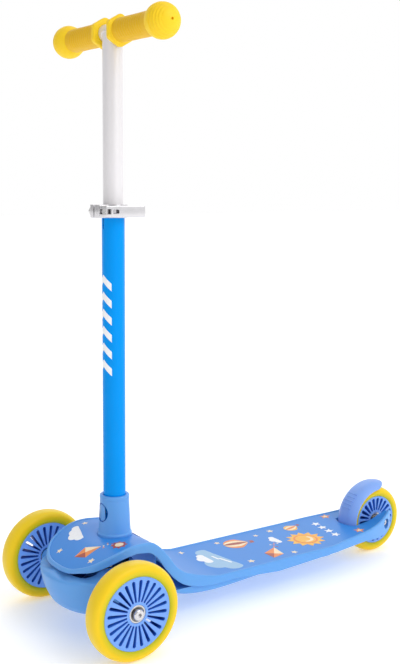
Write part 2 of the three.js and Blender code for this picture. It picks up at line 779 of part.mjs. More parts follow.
// The spring's outer form, from the pin's collar to the tube's far wall
function snapPinSpring() {
  const radius = snapPinDiameter / 2 + fitGap;
  const tubeInner = lowerTubeDiameter / 2 - tubeWall;
  const seat = Math.sqrt(tubeInner ** 2 - radius ** 2) - fitGap;
  const core = alongX(radius - tubeWall, -tubeInner, tubeInner);
  return cut(alongX(radius, -seat, pinCollarX - fitGap), core);
}

// Column
function lowerTube() {
  const radius = lowerTubeDiameter / 2;
  const tube = solid(turnedZ(ring(radius - tubeWall, radius, tubeBottom, lowerTubeTop), wheelSteps));
  const slot = solid(block(0, radius + overrun, -tubeSlotWidth / 2, tubeSlotWidth / 2,
    lowerTubeTop - tubeSlotLength, lowerTubeTop + overrun));
  return cut(tube, slot, alongX(snapPinDiameter / 2 + fitGap, 0, radius + overrun));
}

const upperTubeTop = handlebarHeight;
const upperTubeBottom = upperTubeTop - upperTubeLength;

function crossbarRod(radius, reach) {
  return across(radius, -reach, reach, 0, handlebarHeight, roundSteps);
}

function upperTube() {
  const radius = upperTubeDiameter / 2;
  const tube = solid(turnedZ(ring(radius - tubeWall, radius, upperTubeBottom, upperTubeTop), wheelSteps));
  return cut(tube, crossbarRod(crossbarDiameter / 2 + fitGap, upperTubeDiameter));
}

const gripTip = handlebarWidth / 2;
const crossbarReach = gripTip - gripEndWall - fitGap;

function crossbar() {
  const wall = crossbarRod(crossbarDiameter / 2 - tubeWall, crossbarReach + overrun);
  return cut(crossbarRod(crossbarDiameter / 2, crossbarReach), wall);
}

// One grip on the left, with its round flange, waist and ridged ball end
function grip() {
  const ball = gripBulbDiameter / 2;
  const ballY = gripTip - ball;
  const body = gripDiameter / 2;
  const flange = gripFlangeAcross / 2;
  const neckAngle = Math.asin(body / ball);
  const flangeEnd = gripFlangeStart + gripFlangeWidth;
  const round = gripFlangeWidth / 4;
  const ballSteps = 8;
  const crown = Array.from({ length: ballSteps }, (_, i) => {
    const endAngle = Math.PI - Math.asin(gripEndHole / gripBulbDiameter);
    const angle = neckAngle + ((endAngle - neckAngle) * i) / (ballSteps - 1);
    return [ball * Math.sin(angle), ballY - ball * Math.cos(angle)];
  });
  const bore = crossbarDiameter / 2 + fitGap;
  const profile = [
    [bore, gripFlangeStart], [flange - round, gripFlangeStart], [flange, gripFlangeStart + round],
    [flange, flangeEnd - round], [flange - round, flangeEnd], [body, flangeEnd + round], ...crown,
    [gripEndHole / 2, gripTip - gripEndWall], [bore, gripTip - gripEndWall], [bore, gripFlangeStart],
  ];
  return solid(turnedY(profile, roundSteps).translate(0, 0, handlebarHeight));
}

// Clamp, made round the column's axis
const clampTop = clampBottom + clampHeight;
const clampMiddle = clampBottom + clampHeight / 2;
const clampOuterRadius = lowerTubeDiameter / 2 + fitGap + clampWall;
const earFace = clampEarHalfWidth;
const leverPivotY = earFace + fitGap + leverLobeRadius;

function clampCollar() {
  const ringPart = upright(clampOuterRadius, clampBottom, clampTop, 0, 0, wheelSteps);
  const ears = solid(block(lowerTubeDiameter / 2, clampEarReach, -earFace, earFace, clampBottom, clampTop));
  const bore = upright(lowerTubeDiameter / 2 + fitGap, 0, lowerTubeTop + fitGap, 0, 0, wheelSteps);
  const mouth = upright(upperTubeDiameter / 2 + fitGap, 0, clampTop + overrun, 0, 0, wheelSteps);
  const slit = solid(block(0, clampEarReach + overrun, -clampSlitWidth / 2, clampSlitWidth / 2, 0,
    clampTop + overrun));
  const boltHole = across(clampBoltDiameter / 2 + fitGap, -clampEarReach, clampEarReach, clampBoltReach,
    clampMiddle);
  return cut(join(ringPart, ears), bore, mouth, slit, boltHole);
}

function clampBolt() {
  const start = -earFace - fitGap - clampNutHeight - fitGap;
  const end = leverPivotY + clampBoltDiameter / 2;
  return across(clampBoltDiameter / 2, start, end, clampBoltReach, clampMiddle);
}

function clampBarrel() {
  const half = leverHeight / 2;
  const [bottom, top] = [clampMiddle - half, clampMiddle + half];
  const pin = upright(barrelDiameter / 2, bottom, top, clampBoltReach, leverPivotY);
  return cut(pin, across(clampBoltDiameter / 2 + fitGap, 0, clampEarReach, clampBoltReach, clampMiddle));
}

function clampNut() {
  const nut = hexagon(clampNutAcross).map(([x, z]) => [x + clampBoltReach, z + clampMiddle]);
  const hole = across(clampBoltDiameter / 2 + fitGap, -clampEarReach, 0, clampBoltReach, clampMiddle);
  return cut(solid(sidePrism(nut, -earFace - fitGap - clampNutHeight, -earFace - fitGap)), hole);
}

// The lever is made round its own pivot, closed, with its handle pointing to the rear
const leverBendShare = 0.62;
const leverTaperShare = 0.25;

function clampLever() {
  const half = leverHeight / 2;
  const lobe = upright(leverLobeRadius, -half, half, 0, 0, roundSteps);
  const innerY = leverLobeRadius - leverThickness;
  const bend = -leverLength * leverBendShare;
  const outerLine = smooth([[0, leverLobeRadius], [bend / 2, leverLobeRadius + leverThickness / 8],
    [bend, leverLobeRadius + leverThickness / 4], [-leverLength, leverLobeRadius + leverEndFlare / 2]], 10);
  const innerLine = outerLine.map(([x, y]) => (
    [x, y - leverThickness * (1 + (leverTaperShare * x) / leverLength)]));
  const handle = solid(planPrism([...outerLine, ...innerLine.slice().reverse()], -half, half));
  const hole = upright(barrelDiameter / 2 + fitGap, -half - overrun, half + overrun, 0, 0);
  const past = leverLobeRadius + overrun;
  const slotHalf = leverSlotHeight / 2;
  const slot = solid(block(-barrelDiameter / 2 - fitGap, past, -past, past, -slotHalf, slotHalf));
  const [windowRear, windowFront] = [-1, 1].map((end) => (end * leverWindowLength) / 2 - leverWindowReach);
  const window = solid(block(windowRear, windowFront, innerY - leverThickness,
    leverLobeRadius + leverEndFlare, -leverWindowHeight / 2, leverWindowHeight / 2));
  return cut(join(lobe, handle), hole, slot, window);
}

// Steering pivot, made along its own axis
function onPivot(geometry) {
  return geometry.rotateY(Math.PI / 2 - pivotAngle).translate(frontAxleX - pivotSetback, 0, pivotHeight);
}

function pivotRod(radius, start, end, steps = smallSteps) {
  return solid(onPivot(turnedZ(rod(radius, start, end), steps)));
}

const barrelEnd = pivotBarrelLength / 2;
const bushEnd = barrelEnd + fitGap + bushFlangeThickness;
const lugStart = bushEnd + fitGap;
const lugEnd = lugStart + lugThickness;
const bushInner = kingpinDiameter / 2 + fitGap;
const bushOuter = bushInner + bushWall;

function kingpin() {
  const tip = -lugStart - kingpinNutHeight - kingpinThread;
  const shank = pivotRod(kingpinDiameter / 2, tip, lugEnd + fitGap * 2);
  const head = solid(onPivot(planPrism(hexagon(kingpinHeadAcross), lugEnd + fitGap,
    lugEnd + fitGap + kingpinHeadHeight)));
  return join(shank, head);
}

function kingpinNut() {
  const nut = solid(onPivot(planPrism(hexagon(kingpinNutAcross), -lugStart - kingpinNutHeight, -lugStart)));
  return cut(nut, pivotRod(kingpinDiameter / 2 + fitGap, -lugEnd - kingpinNutHeight, 0));
}

function kingpinBush(side) {
  const inside = fitGap;
  const profile = [
    [bushInner, side * inside], [bushOuter, side * inside], [bushOuter, side * (barrelEnd + fitGap)],
    [bushFlangeRadius, side * (barrelEnd + fitGap)], [bushFlangeRadius, side * bushEnd],
    [bushInner, side * bushEnd], [bushInner, side * inside],
  ];
  return solid(onPivot(turnedZ(profile, smallSteps)));
}

const springX = frontAxleX - springSetback;
const pegRadius = springDiameter / 2 - springWire - fitGap;

// A plate below the neck, with an eye for the kingpin and a peg for each spring
function steeringBracket() {
  const plate = solid(block(frontAxleX - bracketRear, frontAxleX - bracketFront, -bracketHalfWidth,
    bracketHalfWidth, bracketBottom, bracketTop));
  const reach = (bracketTop - pivotHeight) / Math.cos(pivotAngle) + lugEnd;
  const lug = solid(onPivot(block(-reach, 0, -lugHalfWidth, lugHalfWidth, lugStart, lugEnd)));
  const roof = solid(block(-wheelbase, wheelbase, -noseHalfWidth, noseHalfWidth, 0, bracketTop));
  const eye = pivotRod(lugHalfWidth, lugStart, lugEnd, roundSteps);
  const pegs = [-1, 1].map((side) => upright(pegRadius, bracketBottom - springPegHeight,
    bracketTop - bracketThickness / 2, springX, side * springOffset));
  const holes = neckScrewPlaces.map(([x, y]) => upright(screwHoleRadius, 0, neckTop, x, y));
  const bore = pivotRod(bushInner, 0, lugEnd + overrun);
  return cut(join(plate, lug.intersect(roof), eye, ...pegs), bore, ...holes);
}

// Centring springs, standing between the truck and the bracket
function steeringSpring(side) {
  const profile = ring(springDiameter / 2 - springWire, springDiameter / 2, springSeatHeight + fitGap,
    bracketBottom - fitGap);
  return solid(turnedZ(profile, smallSteps).translate(springX, side * springOffset, 0));
}

// Front truck housing. Its sections are ovals; each share pair is height, then size.
const bowlShares = [[0, 0.44], [0.082, 0.632], [0.213, 0.79], [0.377, 0.86], [0.607, 0.937], [1, 1]];
const bowlFrontPower = 2;
const bowlRearPower = 3;
const bowlMiddleX = frontAxleX - bowlMiddleSetback;

function bowlOutline(size, inset) {
  const steps = 28;
  return Array.from({ length: steps }, (_, i) => {
    const turn = (i * 2 * Math.PI) / steps;
    const [c, s] = [Math.cos(turn), Math.sin(turn)];
    const power = c > 0 ? bowlFrontPower : bowlRearPower;
    const reach = c > 0 ? bowlFrontReach + bowlMiddleSetback : bowlRearReach - bowlMiddleSetback;
    return [
      Math.sign(c) * Math.abs(c) ** (2 / power) * (reach * size - inset),
      Math.sign(s) * Math.abs(s) ** (2 / power) * (bowlHalfWidth * size - inset),
    ];
  });
}

function bowl(inset) {
  const sections = bowlShares.map(([, size]) => bowlOutline(size, inset));
  const frames = bowlShares.map(([height]) => {
    const z = bowlBottom + inset + height * (bowlTop - bowlBottom - inset);
    return (x, y) => [bowlMiddleX + x, y, z];
  });
  return solid(loft(sections, frames));
}

// What stays below the nose and leaves room for the truck to swing
function bowlRoof(drop) {
  const half = bowlHalfWidth + overrun;
  const top = bowlTop - drop;
  const side = top - (half - bowlShoulderStart) * Math.tan(bowlShoulderSlope);
  const shoulders = [[-half, 0], [half, 0], [half, side], [bowlShoulderStart, top], [-bowlShoulderStart, top],
    [-half, side]];
  const [rear, front] = [bowlMiddleX - bowlHalfWidth, bowlMiddleX + bowlHalfWidth + overrun];
  const under = noseEdgeLine(bowlNoseGap + drop);
  const profile = [[rear, 0], [front, 0], [front, under.at(-1)[1]], ...under.slice().reverse(),
    [rear, under[0][1]]];
  return solid(frontPrism(shoulders, rear, front)).intersect(solid(sidePrism(profile, -half, half)));
}

const wheelInnerFace = (frontTrack - hubWidth) / 2;
const axleTip = wheelInnerFace + bearingInset - fitGap;
const axleBeamEnd = wheelInnerFace - axleBeamGap;

// A bowl below the nose, with the axle beam, the kingpin's barrel and the springs' pads
function truckHousing() {
  const shell = cut(bowl(0).intersect(bowlRoof(0)), bowl(bowlWall).intersect(bowlRoof(bowlWall)));
  const opening = solid(block(frontAxleX - bowlOpeningRear, frontAxleX + bowlOpeningFront,
    -bowlOpeningHalfWidth, bowlOpeningHalfWidth, springSeatHeight, neckTop));
  const beam = across(axleBeamRadius, -axleBeamEnd, axleBeamEnd, frontAxleX, frontAxleHeight, roundSteps);
  const tips = across(axleTipRadius, -axleTip, axleTip, frontAxleX, frontAxleHeight);
  const barrel = pivotRod(pivotBarrelRadius, -barrelEnd, barrelEnd, roundSteps);
  const web = solid(block(frontAxleX - bowlWall / 2, frontAxleX + bowlWall / 2, -bowlHalfWidth, bowlHalfWidth,
    bowlBottom + bowlWall / 2, frontAxleHeight)).intersect(bowl(bowlWall / 2));
  const pads = [-1, 1].map((side) => join(
    solid(block(springX - springDiameter / 2, springX + springDiameter / 2, side * springOffset
      - springDiameter / 2, side * springOffset + springDiameter / 2, frontAxleHeight, springSeatHeight)),
    upright(pegRadius, springSeatHeight - overrun, springSeatHeight + springPegHeight, springX,
      side * springOffset),
  ));
  const bushBore = pivotRod(bushOuter + fitGap, -lugEnd, lugEnd, roundSteps);
  const nutHalf = axleNutAcross / Math.sqrt(3) + fitGap;
  const bores = [-1, 1].flatMap((side) => {
    const ends = (a, b) => [Math.min(side * a, side * b), Math.max(side * a, side * b)];
    const [boreRight, boreLeft] = ends(axleBoreStart, axleTip + overrun);
    const [nutRight, nutLeft] = ends(nutPocketStart, nutPocketStart + axleNutHeight + fitGap * 2);
    return [
      across(boreRadius, boreRight, boreLeft, frontAxleX, frontAxleHeight),
      solid(block(frontAxleX - nutHalf, frontAxleX + nutHalf, nutRight, nutLeft,
        frontAxleHeight - axleBeamRadius - overrun, frontAxleHeight + axleNutAcross / 2 + fitGap)),
    ];
  });
  return cut(join(cut(shell, opening), beam, tips, barrel, web, ...pads), bushBore, ...bores);
}

// Brake fender, made round the rear axle, with its pivot and spring
const fenderHalfWidth = wheelSlotHalfWidth - fenderSideGap;
const fenderEndShares = [[0, 1], [0.8, 1], [0.88, 0.93], [0.95, 0.76], [0.985, 0.55], [1, 0.4]];
const fenderTipShares = [0.97, 0.99];
const fenderSideShare = 0.7;
const fenderSteps = 12;
const fenderStart = -Math.atan2(fenderPivotDrop + fenderRaise, fenderPivotAhead + fenderSetback);

// A place on the arch, whose centre lies behind and above the axle
function onArch(radius, turn) {
  return [radius * Math.cos(turn) - fenderSetback, radius * Math.sin(turn) + fenderRaise];
}

function fenderSection(widthShare) {
  const steps = 6;
  const arch = (half, radius) => Array.from({ length: steps + 1 }, (_, i) => {
    const share = (2 * i) / steps - 1;
    return [share * half * widthShare, radius - fenderSideDrop * Math.abs(share * widthShare) ** 3];
  });
  const outer = arch(fenderHalfWidth, fenderInnerRadius + fenderThickness);
  const inner = arch(fenderHalfWidth - fenderThickness * fenderSideShare, fenderInnerRadius);
  return [...outer, ...inner.reverse()];
}

// An arched skin over the rear wheel, narrowing to its tip, with a hinge barrel at its foot
function brakeFender() {
  const stops = Array.from({ length: fenderSteps + 1 }, (_, i) => i / fenderSteps);
  stops.push(...fenderTipShares);
  stops.sort((a, b) => a - b);
  const widths = stops.map((stop) => heightOn(fenderEndShares, stop));
  const frames = stops.map((stop) => {
    const turn = fenderStart + stop * (fenderSpan - fenderStart);
    return (y, radius) => {
      const [x, z] = onArch(radius, turn);
      return [x, y, z];
    };
  });
  const skin = solid(loft(widths.map(fenderSection), frames));
  const [pivotX, pivotZ] = [fenderPivotAhead, -fenderPivotDrop];
  const barrel = across(fenderBarrelRadius, -fenderHalfWidth, fenderHalfWidth, pivotX, pivotZ, roundSteps);
  const gap = fenderHalfWidth - fenderBarrelWidth;
  const springRoom = across(fenderBarrelRadius + fitGap * 4, -gap, gap, pivotX, pivotZ, roundSteps);
  const pinRoom = across(fenderPinDiameter / 2 + fitGap, -wheelbase, wheelbase, pivotX, pivotZ);
  return cut(join(skin, barrel), springRoom, pinRoom);
}

// A coil on the pin, with one leg under the fender's skin and one on the deck
const springLegStartShare = 0.8;
const springLegSpanShare = 1 / 6;

function fenderSpring() {
  const half = fenderHalfWidth - fenderBarrelWidth - fitGap;
  const coil = across(fenderSpringDiameter / 2, -half, half, fenderPivotAhead, -fenderPivotDrop);
  const pinRoom = across(fenderPinDiameter / 2 + fitGap, -wheelbase, wheelbase, fenderPivotAhead,
    -fenderPivotDrop);
  const wire = (fenderSpringDiameter - fenderPinDiameter) / 4;
  const outer = fenderInnerRadius - fitGap - wire;
  const inner = outer - wire;
  const legSteps = 4;
  const arc = (radius, order) => Array.from({ length: legSteps + 1 }, (_, i) => {
    const share = order > 0 ? i / legSteps : 1 - i / legSteps;
    const turn = fenderStart * springLegStartShare + share * fenderSpan * springLegSpanShare;
    return onArch(radius, turn);
  });
  const root = [1, -1].map((end) => [fenderPivotAhead, (end * wire) / 2 - fenderPivotDrop]);
  const legOutline = [root[0], ...arc(outer, 1), ...arc(inner, -1), root[1]];
  const upperLeg = solid(sidePrism(legOutline, half - wire, half));
  const slotFront = tailEndX + wheelSlotLength - rearAxleX;
  const lowerLeg = solid(block(fenderPivotAhead, slotFront - fitGap, -half, wire - half,
    -fenderPivotDrop - fenderSpringDiameter / 2, wire - fenderPivotDrop - fenderSpringDiameter / 2));
  return cut(join(coil, upperLeg, lowerLeg), pinRoom);
}

function fenderPin() {
  return across(fenderPinDiameter / 2, -dropoutReach, dropoutReach, fenderPivotAhead, -fenderPivotDrop);
}

// Everything put together
addPiece('deck_shell', deckShell(), plastic);
const [noseMat, deckMat] = matSolids(0, 0, matThickness);
addPiece('nose_mat', noseMat, matFoam);
addPiece('deck_mat', deckMat, matFoam);
addPiece('under_shell', underShell(), plastic);
deckScrewPlaces.forEach(([x, y], i) => {
  const screw = addPiece(`under_shell_screw_${i + 1}`, panScrew(deckFloor - underScrewSeat - fitGap), steel);
  screw.position.set(x, y, underScrewSeat - fitGap);
});
neckScrewPlaces.forEach(([x, y], i) => {
  const screw = addPiece(`neck_screw_${i + 1}`, panScrew(neckScrewTip - bracketBottom), steel);
  screw.position.set(x, y, bracketBottom - fitGap);
});

const column = addGroup(columnX, 0, 0);
addPiece('neck_socket', neckSocket(), plastic, column);
addPiece('release_button', releaseButton(), plastic, column);
addPiece('snap_pin', snapPin(), steel, column);
addPiece('snap_pin_spring', snapPinSpring(), steel, column);
addPiece('lower_tube', lowerTube(), paintedTube, column);
addPiece('clamp_collar', clampCollar(), steel, column);
addPiece('clamp_bolt', clampBolt(), steel, column);
addPiece('clamp_nut', clampNut(), steel, column);
addPiece('clamp_barrel', clampBarrel(), steel, column);
const lever = addPiece('clamp_lever', clampLever(), steel, column);
lever.position.set(clampBoltReach, leverPivotY, clampMiddle);
addPiece('upper_tube', upperTube(), satinTube, column);
addPiece('crossbar', crossbar(), satinTube, column);
addPiece('grip_left', grip(), gripRubber, column);
const rightGrip = addPiece('grip_right', grip(), gripRubber, column);
rightGrip.rotation.z = Math.PI;

addPiece('steering_bracket', steeringBracket(), darkPlastic);
addPiece('kingpin', kingpin(), steel);
addPiece('kingpin_nut', kingpinNut(), steel);
addPiece('kingpin_bush_upper', kingpinBush(1), darkPlastic);
addPiece('kingpin_bush_lower', kingpinBush(-1), darkPlastic);
addPiece('truck_housing', truckHousing(), plastic);

const wheelY = frontTrack / 2;
const boltSeat = wheelY + hubWidth / 2 - bearingInset + fitGap;
for (const [name, side] of [['left', 1], ['right', -1]]) {
  addPiece(`steering_spring_${name}`, steeringSpring(side), steel);
  const axle = addGroup(frontAxleX, 0, frontAxleHeight);
  const bolt = addPiece(`front_axle_bolt_${name}`, axleBolt(boltSeat - nutPocketStart), steel, axle);
  bolt.position.y = side * boltSeat;
  bolt.rotation.x = (side * Math.PI) / 2;
  const nut = addPiece(`front_axle_nut_${name}`, axleNut(), steel, axle);
  nut.position.y = side * (nutPocketStart + axleNutHeight + fitGap);
  nut.rotation.x = (side * Math.PI) / 2;
  addWheel(`front_${name}`, frontWheelDiameter, frontHubDiameter, frontAxleX, side * wheelY, frontAxleHeight);
}

addWheel('rear', rearWheelDiameter, rearHubDiameter, rearAxleX, 0, rearAxleHeight);
const rearAxle = addGroup(rearAxleX, 0, rearAxleHeight);
const rearSeat = dropoutReach + fitGap;
const rearBolt = addPiece('rear_axle_bolt', axleBolt(rearSeat * 2 + axleNutHeight), steel, rearAxle);
rearBolt.position.y = rearSeat;
rearBolt.rotation.x = Math.PI / 2;
const rearNut = addPiece('rear_axle_nut', axleNut(), steel, rearAxle);
rearNut.position.y = -rearSeat;
rearNut.rotation.x = Math.PI / 2;
const spacerLength = wheelSlotHalfWidth - hubWidth / 2 + bearingInset - fitGap * 2;
const spacerPlace = hubWidth / 2 - bearingInset + fitGap + spacerLength / 2;
for (const [name, side] of [['left', 1], ['right', -1]]) {
  const spacer = ring(boreRadius, rearSpacerDiameter / 2, -spacerLength / 2, spacerLength / 2);
  const piece = addPiece(`rear_axle_spacer_${name}`, solid(turnedY(spacer, smallSteps)), steel, rearAxle);
  piece.position.y = side * spacerPlace;
}
addPiece('brake_fender', brakeFender(), fenderPlastic, rearAxle);
addPiece('fender_pin', fenderPin(), steel, rearAxle);
addPiece('fender_spring', fenderSpring(), steel, rearAxle);

export default scooter;
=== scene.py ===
import json
import math

import bmesh
import bpy
import numpy as np
from mathutils import Matrix, Vector
from mathutils.geometry import delaunay_2d_cdt


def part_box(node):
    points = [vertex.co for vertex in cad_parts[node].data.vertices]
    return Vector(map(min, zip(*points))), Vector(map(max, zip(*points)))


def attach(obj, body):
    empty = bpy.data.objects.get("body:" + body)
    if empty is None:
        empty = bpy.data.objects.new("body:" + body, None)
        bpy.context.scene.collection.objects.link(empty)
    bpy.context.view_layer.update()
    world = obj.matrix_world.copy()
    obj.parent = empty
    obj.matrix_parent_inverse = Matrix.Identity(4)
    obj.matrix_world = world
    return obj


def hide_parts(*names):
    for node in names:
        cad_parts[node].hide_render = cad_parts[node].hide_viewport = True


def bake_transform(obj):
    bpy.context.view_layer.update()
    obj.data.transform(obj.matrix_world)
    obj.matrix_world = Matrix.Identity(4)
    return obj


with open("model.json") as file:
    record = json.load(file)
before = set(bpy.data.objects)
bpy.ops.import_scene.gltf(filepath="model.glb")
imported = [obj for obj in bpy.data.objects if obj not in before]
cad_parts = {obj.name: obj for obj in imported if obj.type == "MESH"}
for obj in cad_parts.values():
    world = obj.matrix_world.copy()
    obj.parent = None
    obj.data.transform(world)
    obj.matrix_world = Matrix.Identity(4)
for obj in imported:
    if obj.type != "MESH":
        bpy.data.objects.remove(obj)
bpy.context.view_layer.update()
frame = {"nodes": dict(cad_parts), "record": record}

MM = 0.001
TURN = 2 * math.pi
ACROSS = (0, 1, 0)
UP = (0, 0, 1)

# A step too small to see, the play round a fitted part, and how far a cutter goes past its piece
HAIR = 0.05 * MM
FIT = 0.3 * MM
FAR = 0.1

# The photograph's camera
CAMERA_PLACE = Vector((850.4, 1123.8, 563.9)) * MM
CAMERA_FORWARD = Vector((-0.5618, -0.8198, -0.1111))
CAMERA_ROLL = math.radians(0.23)
CAMERA_FOCAL_PIXELS = 1030.4
PHOTO_WIDTH = 400
PHOTO_HEIGHT = 664
PHOTO_CENTRE_X = 192.73
PHOTO_CENTRE_Y = 298.64
SENSOR_SIZE = 36

# Which body each node belongs to, and which finish it has
BODY_OF = {node: body for body, nodes in frame["record"]["behaviour"]["bodies"].items() for node in nodes}
SLOT_OF = {part["node"]: part["material_slot"] for part in frame["record"]["subparts"]}


def middle(node):
    low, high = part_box(node)
    return (low + high) / 2


def half_height(node):
    low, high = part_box(node)
    return (high.z - low.z) / 2


def half_width(node):
    low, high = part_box(node)
    return (high.y - low.y) / 2


# Places that the frame gives
FRONT_AXLE = middle("front_left_tyre")
REAR_AXLE = middle("rear_tyre")
CROSSBAR = middle("crossbar")
FRONT_AXLE_X = FRONT_AXLE.x
REAR_AXLE_X = REAR_AXLE.x
COLUMN_X = middle("lower_tube").x
NECK_LOW, NECK_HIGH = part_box("neck_socket")
NECK_HOLE = half_width("neck_socket") + FIT

# Wheels
TYRE_HALF_WIDTH = 13 * MM
HUB_HALF_WIDTH = 12 * MM
HUB_BEVEL = 0.5 * MM
SLOT_START = 14.5 * MM
# Count and turn of a hub's slots, their widths at the inner and outer end, and the wall outside them
HUB_SLOTS = {
    "front": ((24, math.radians(7)), (2.2 * MM, 4.2 * MM), 3.6 * MM),
    "rear": ((22, math.radians(-1.2)), (2.6 * MM, 5.2 * MM), 2.6 * MM),
}
TYRE_SIDE_SHARES = [(0, 0.87), (0.12, 0.955), (0.35, 1), (0.7, 0.93), (0.9, 0.68), (0.98, 0.34), (1, 0)]
BEARING_RADIUS = 11 * MM
BEARING_BORE = 4.3 * MM
BEARING_RACE = 2 * MM
SHIELD_DEPTH = 0.7 * MM
AXLE_RADIUS = 4 * MM
BOLT_HEAD_RADIUS = 7 * MM
BOLT_HEAD_HEIGHT = 5 * MM
BOLT_DOME = 2.6 * MM
BOLT_SOCKET_ACROSS = 5 * MM
BOLT_SOCKET_DEPTH = 3 * MM

# Deck and nose: the same lines as the solids follow
DECK_HEIGHT = 48.5 * MM
DECK_HALF_WIDTH = 61.3 * MM
RAMP_FOOT_X = FRONT_AXLE_X - 170 * MM
TAIL_START_X = REAR_AXLE_X + 130 * MM
TAIL_LENGTH = 144 * MM
TAIL_X = TAIL_START_X - TAIL_LENGTH
TAIL_RISE = 19.3 * MM
CREST_X = FRONT_AXLE_X - 38 * MM
CREST_HEIGHT = 117.2 * MM
NOSE_REACH = 80.2 * MM
NOSE_DROP = 29.3 * MM
NOSE_HALF_WIDTH = 67.3 * MM
NOSE_EDGE_DEPTH = 11.7 * MM
SEAM_X = CREST_X - 36 * MM
SEAM_GAP = 2 * MM
RAMP_SHARES = [(0, 0), (0.1, 0.035), (0.24, 0.105), (0.38, 0.195), (0.48, 0.303), (0.55, 0.44), (0.62, 0.625),
               (0.69, 0.78), (0.76, 0.9), (0.83, 0.966), (1, 1)]
NOSE_SHARES = [(0, 0), (0.2, 0.05), (0.4, 0.198), (0.6, 0.42), (0.8, 0.69), (1, 1)]
TAIL_SHARES = [(0, 0), (0.08, 0.03), (0.16, 0.09), (0.33, 0.155), (0.5, 0.22), (0.62, 0.29), (0.74, 0.415),
               (0.85, 0.65), (0.93, 0.85), (1, 1)]
NOSE_EDGE_SHARES = [(0, 1), (0.25, 0.96), (0.46, 0.91), (0.6, 0.83), (0.71, 0.74), (0.81, 0.57), (0.89, 0.42),
                    (1, 0.35)]
BAND_RAMP_SHARES = [(-0.2, 0.328), (0, 0.323), (0.215, 0.338), (0.33, 0.367), (0.444, 0.416), (0.534, 0.489),
                    (0.605, 0.573), (0.667, 0.66), (0.72, 0.746), (0.776, 0.817), (0.84, 0.867),
                    (0.93, 0.886)]
BAND_TAIL_SHARES = [(0, 0.77), (0.17, 0.775), (0.34, 0.79), (0.5, 0.785), (0.59, 0.757), (0.67, 0.722),
                    (0.757, 0.7), (0.84, 0.72), (0.93, 0.76), (1, 0.86)]
BAND_MIDDLE_SHARE = 0.67
NOSE_OUTLINE_SHARES = [(1, 0), (0.995, 0.2), (0.97, 0.4), (0.92, 0.56), (0.845, 0.705), (0.74, 0.84),
                       (0.6, 0.93), (0.44, 0.983), (0.27, 1), (0.1, 0.983), (-0.08, 0.94), (-0.25, 0.921)]
TAIL_OUTLINE_SHARES = [(0, 1), (0.08, 0.983), (0.16, 0.952), (0.33, 0.907), (0.5, 0.845), (0.62, 0.79),
                       (0.74, 0.71), (0.85, 0.63), (0.93, 0.555), (1, 0.465)]
BEAD_RADIUS = 2.2 * MM
BAND_EDGE = 1.2 * MM
MAT_DROP = 1.1 * MM
MAT_THICKNESS = 1.0 * MM
WALL = 3.5 * MM
PLATE_UNDER = 5.9 * MM
RIB_X = FRONT_AXLE_X - 88 * MM
RIB_THICKNESS = 2.6 * MM
RIB_LOW = 60 * MM
RIB_HALF_WIDTH = 30 * MM
WHEEL_SLOT_HALF = 20.5 * MM
WHEEL_SLOT_LENGTH = 76.5 * MM
SLOT_WALL = 4.5 * MM
DROPOUT_RADIUS = 12 * MM
PAST_TAIL = 30 * MM
PLATE_STEPS = 9
DISH_DEPTH = 1.7 * MM
DISH_RADIUS = 46 * MM
DISH_RUN = 22 * MM
MAT_EDGE = BEAD_RADIUS * 1.92
MAT_EDGE_ROUND = 0.35 * MM
PRINT_STEP = 0.1 * MM
SHELL_SHARES = [(0, 1.38), (0.067, 1.16), (0.156, 1.04), (0.267, 1), (0.4, 1.06), (0.556, 1.16)]
SHELL_LOW = 28 * MM
SHELL_EDGE = 6 * MM

# Brake fender
ARCH_X = REAR_AXLE_X - 1 * MM
ARCH_Z = REAR_AXLE.z + 1.5 * MM
FENDER_INNER = 54.5 * MM
FENDER_THICKNESS = 3.2 * MM
FENDER_SIDE_DROP = 7.5 * MM
FENDER_HALF = half_width("brake_fender")
FENDER_PIN = middle("fender_pin")
FENDER_END = math.radians(105.5)
FENDER_GAP = 1.3 * MM


# Curves and outlines
def spline(points, count):
    """Points along the smooth curve through the given ones."""
    points = np.array(points, float)
    last = len(points) - 1
    found = []
    for k in range(count + 1):
        along = last * k / count
        i = min(int(along), last - 1)
        t = along - i
        a, b, c, d = (points[j] for j in (max(i - 1, 0), i, i + 1, min(i + 2, last)))
        bend, twist = 2 * a - 5 * b + 4 * c - d, 3 * b - a - 3 * c + d
        found.append((2 * b + (c - a) * t + bend * t**2 + twist * t**3) / 2)
    return np.array(found)


def rounded(corners, steps=5):
    """A closed outline of corners (x, y, radius) turned into arcs, with a point beside each end of an arc."""
    found = []
    count = len(corners)
    for i, (x, y, radius) in enumerate(corners):
        here = np.array((x, y), float)
        before = np.array(corners[i - 1][:2], float) - here
        after = np.array(corners[(i + 1) % count][:2], float) - here
        if radius <= 0:
            found.append(here)
            continue
        to_before = before / np.linalg.norm(before)
        to_after = after / np.linalg.norm(after)
        half = math.acos(np.clip(to_before @ to_after, -1, 1)) / 2
        run = radius / math.tan(half)
        bisector = (to_before + to_after) / np.linalg.norm(to_before + to_after)
        centre = here + bisector * radius / math.sin(half)
        start, end = here + to_before * run - centre, here + to_after * run - centre
        sweep = math.atan2(start[0] * end[1] - start[1] * end[0], start @ end)
        beside = run * 0.25
        found.append(here + to_before * (run + beside))
        for k in range(steps + 1):
            angle = sweep * k / steps
            c, s = math.cos(angle), math.sin(angle)
            found.append(centre + (start[0] * c - start[1] * s, start[0] * s + start[1] * c))
        found.append(here + to_after * (run + beside))
    return np.array(found)


def circle(radius, steps=96, x=0.0):
    turns = np.arange(steps) * TURN / steps
    return np.stack((x + radius * np.cos(turns), radius * np.sin(turns)), 1)


def stadium(length, width, turn=0.0, y=0.0):
    """A long outline with round ends and straight sides."""
    return turned(drop_outline(-length / 2, length / 2, width, width, 10), turn) + (0, y)


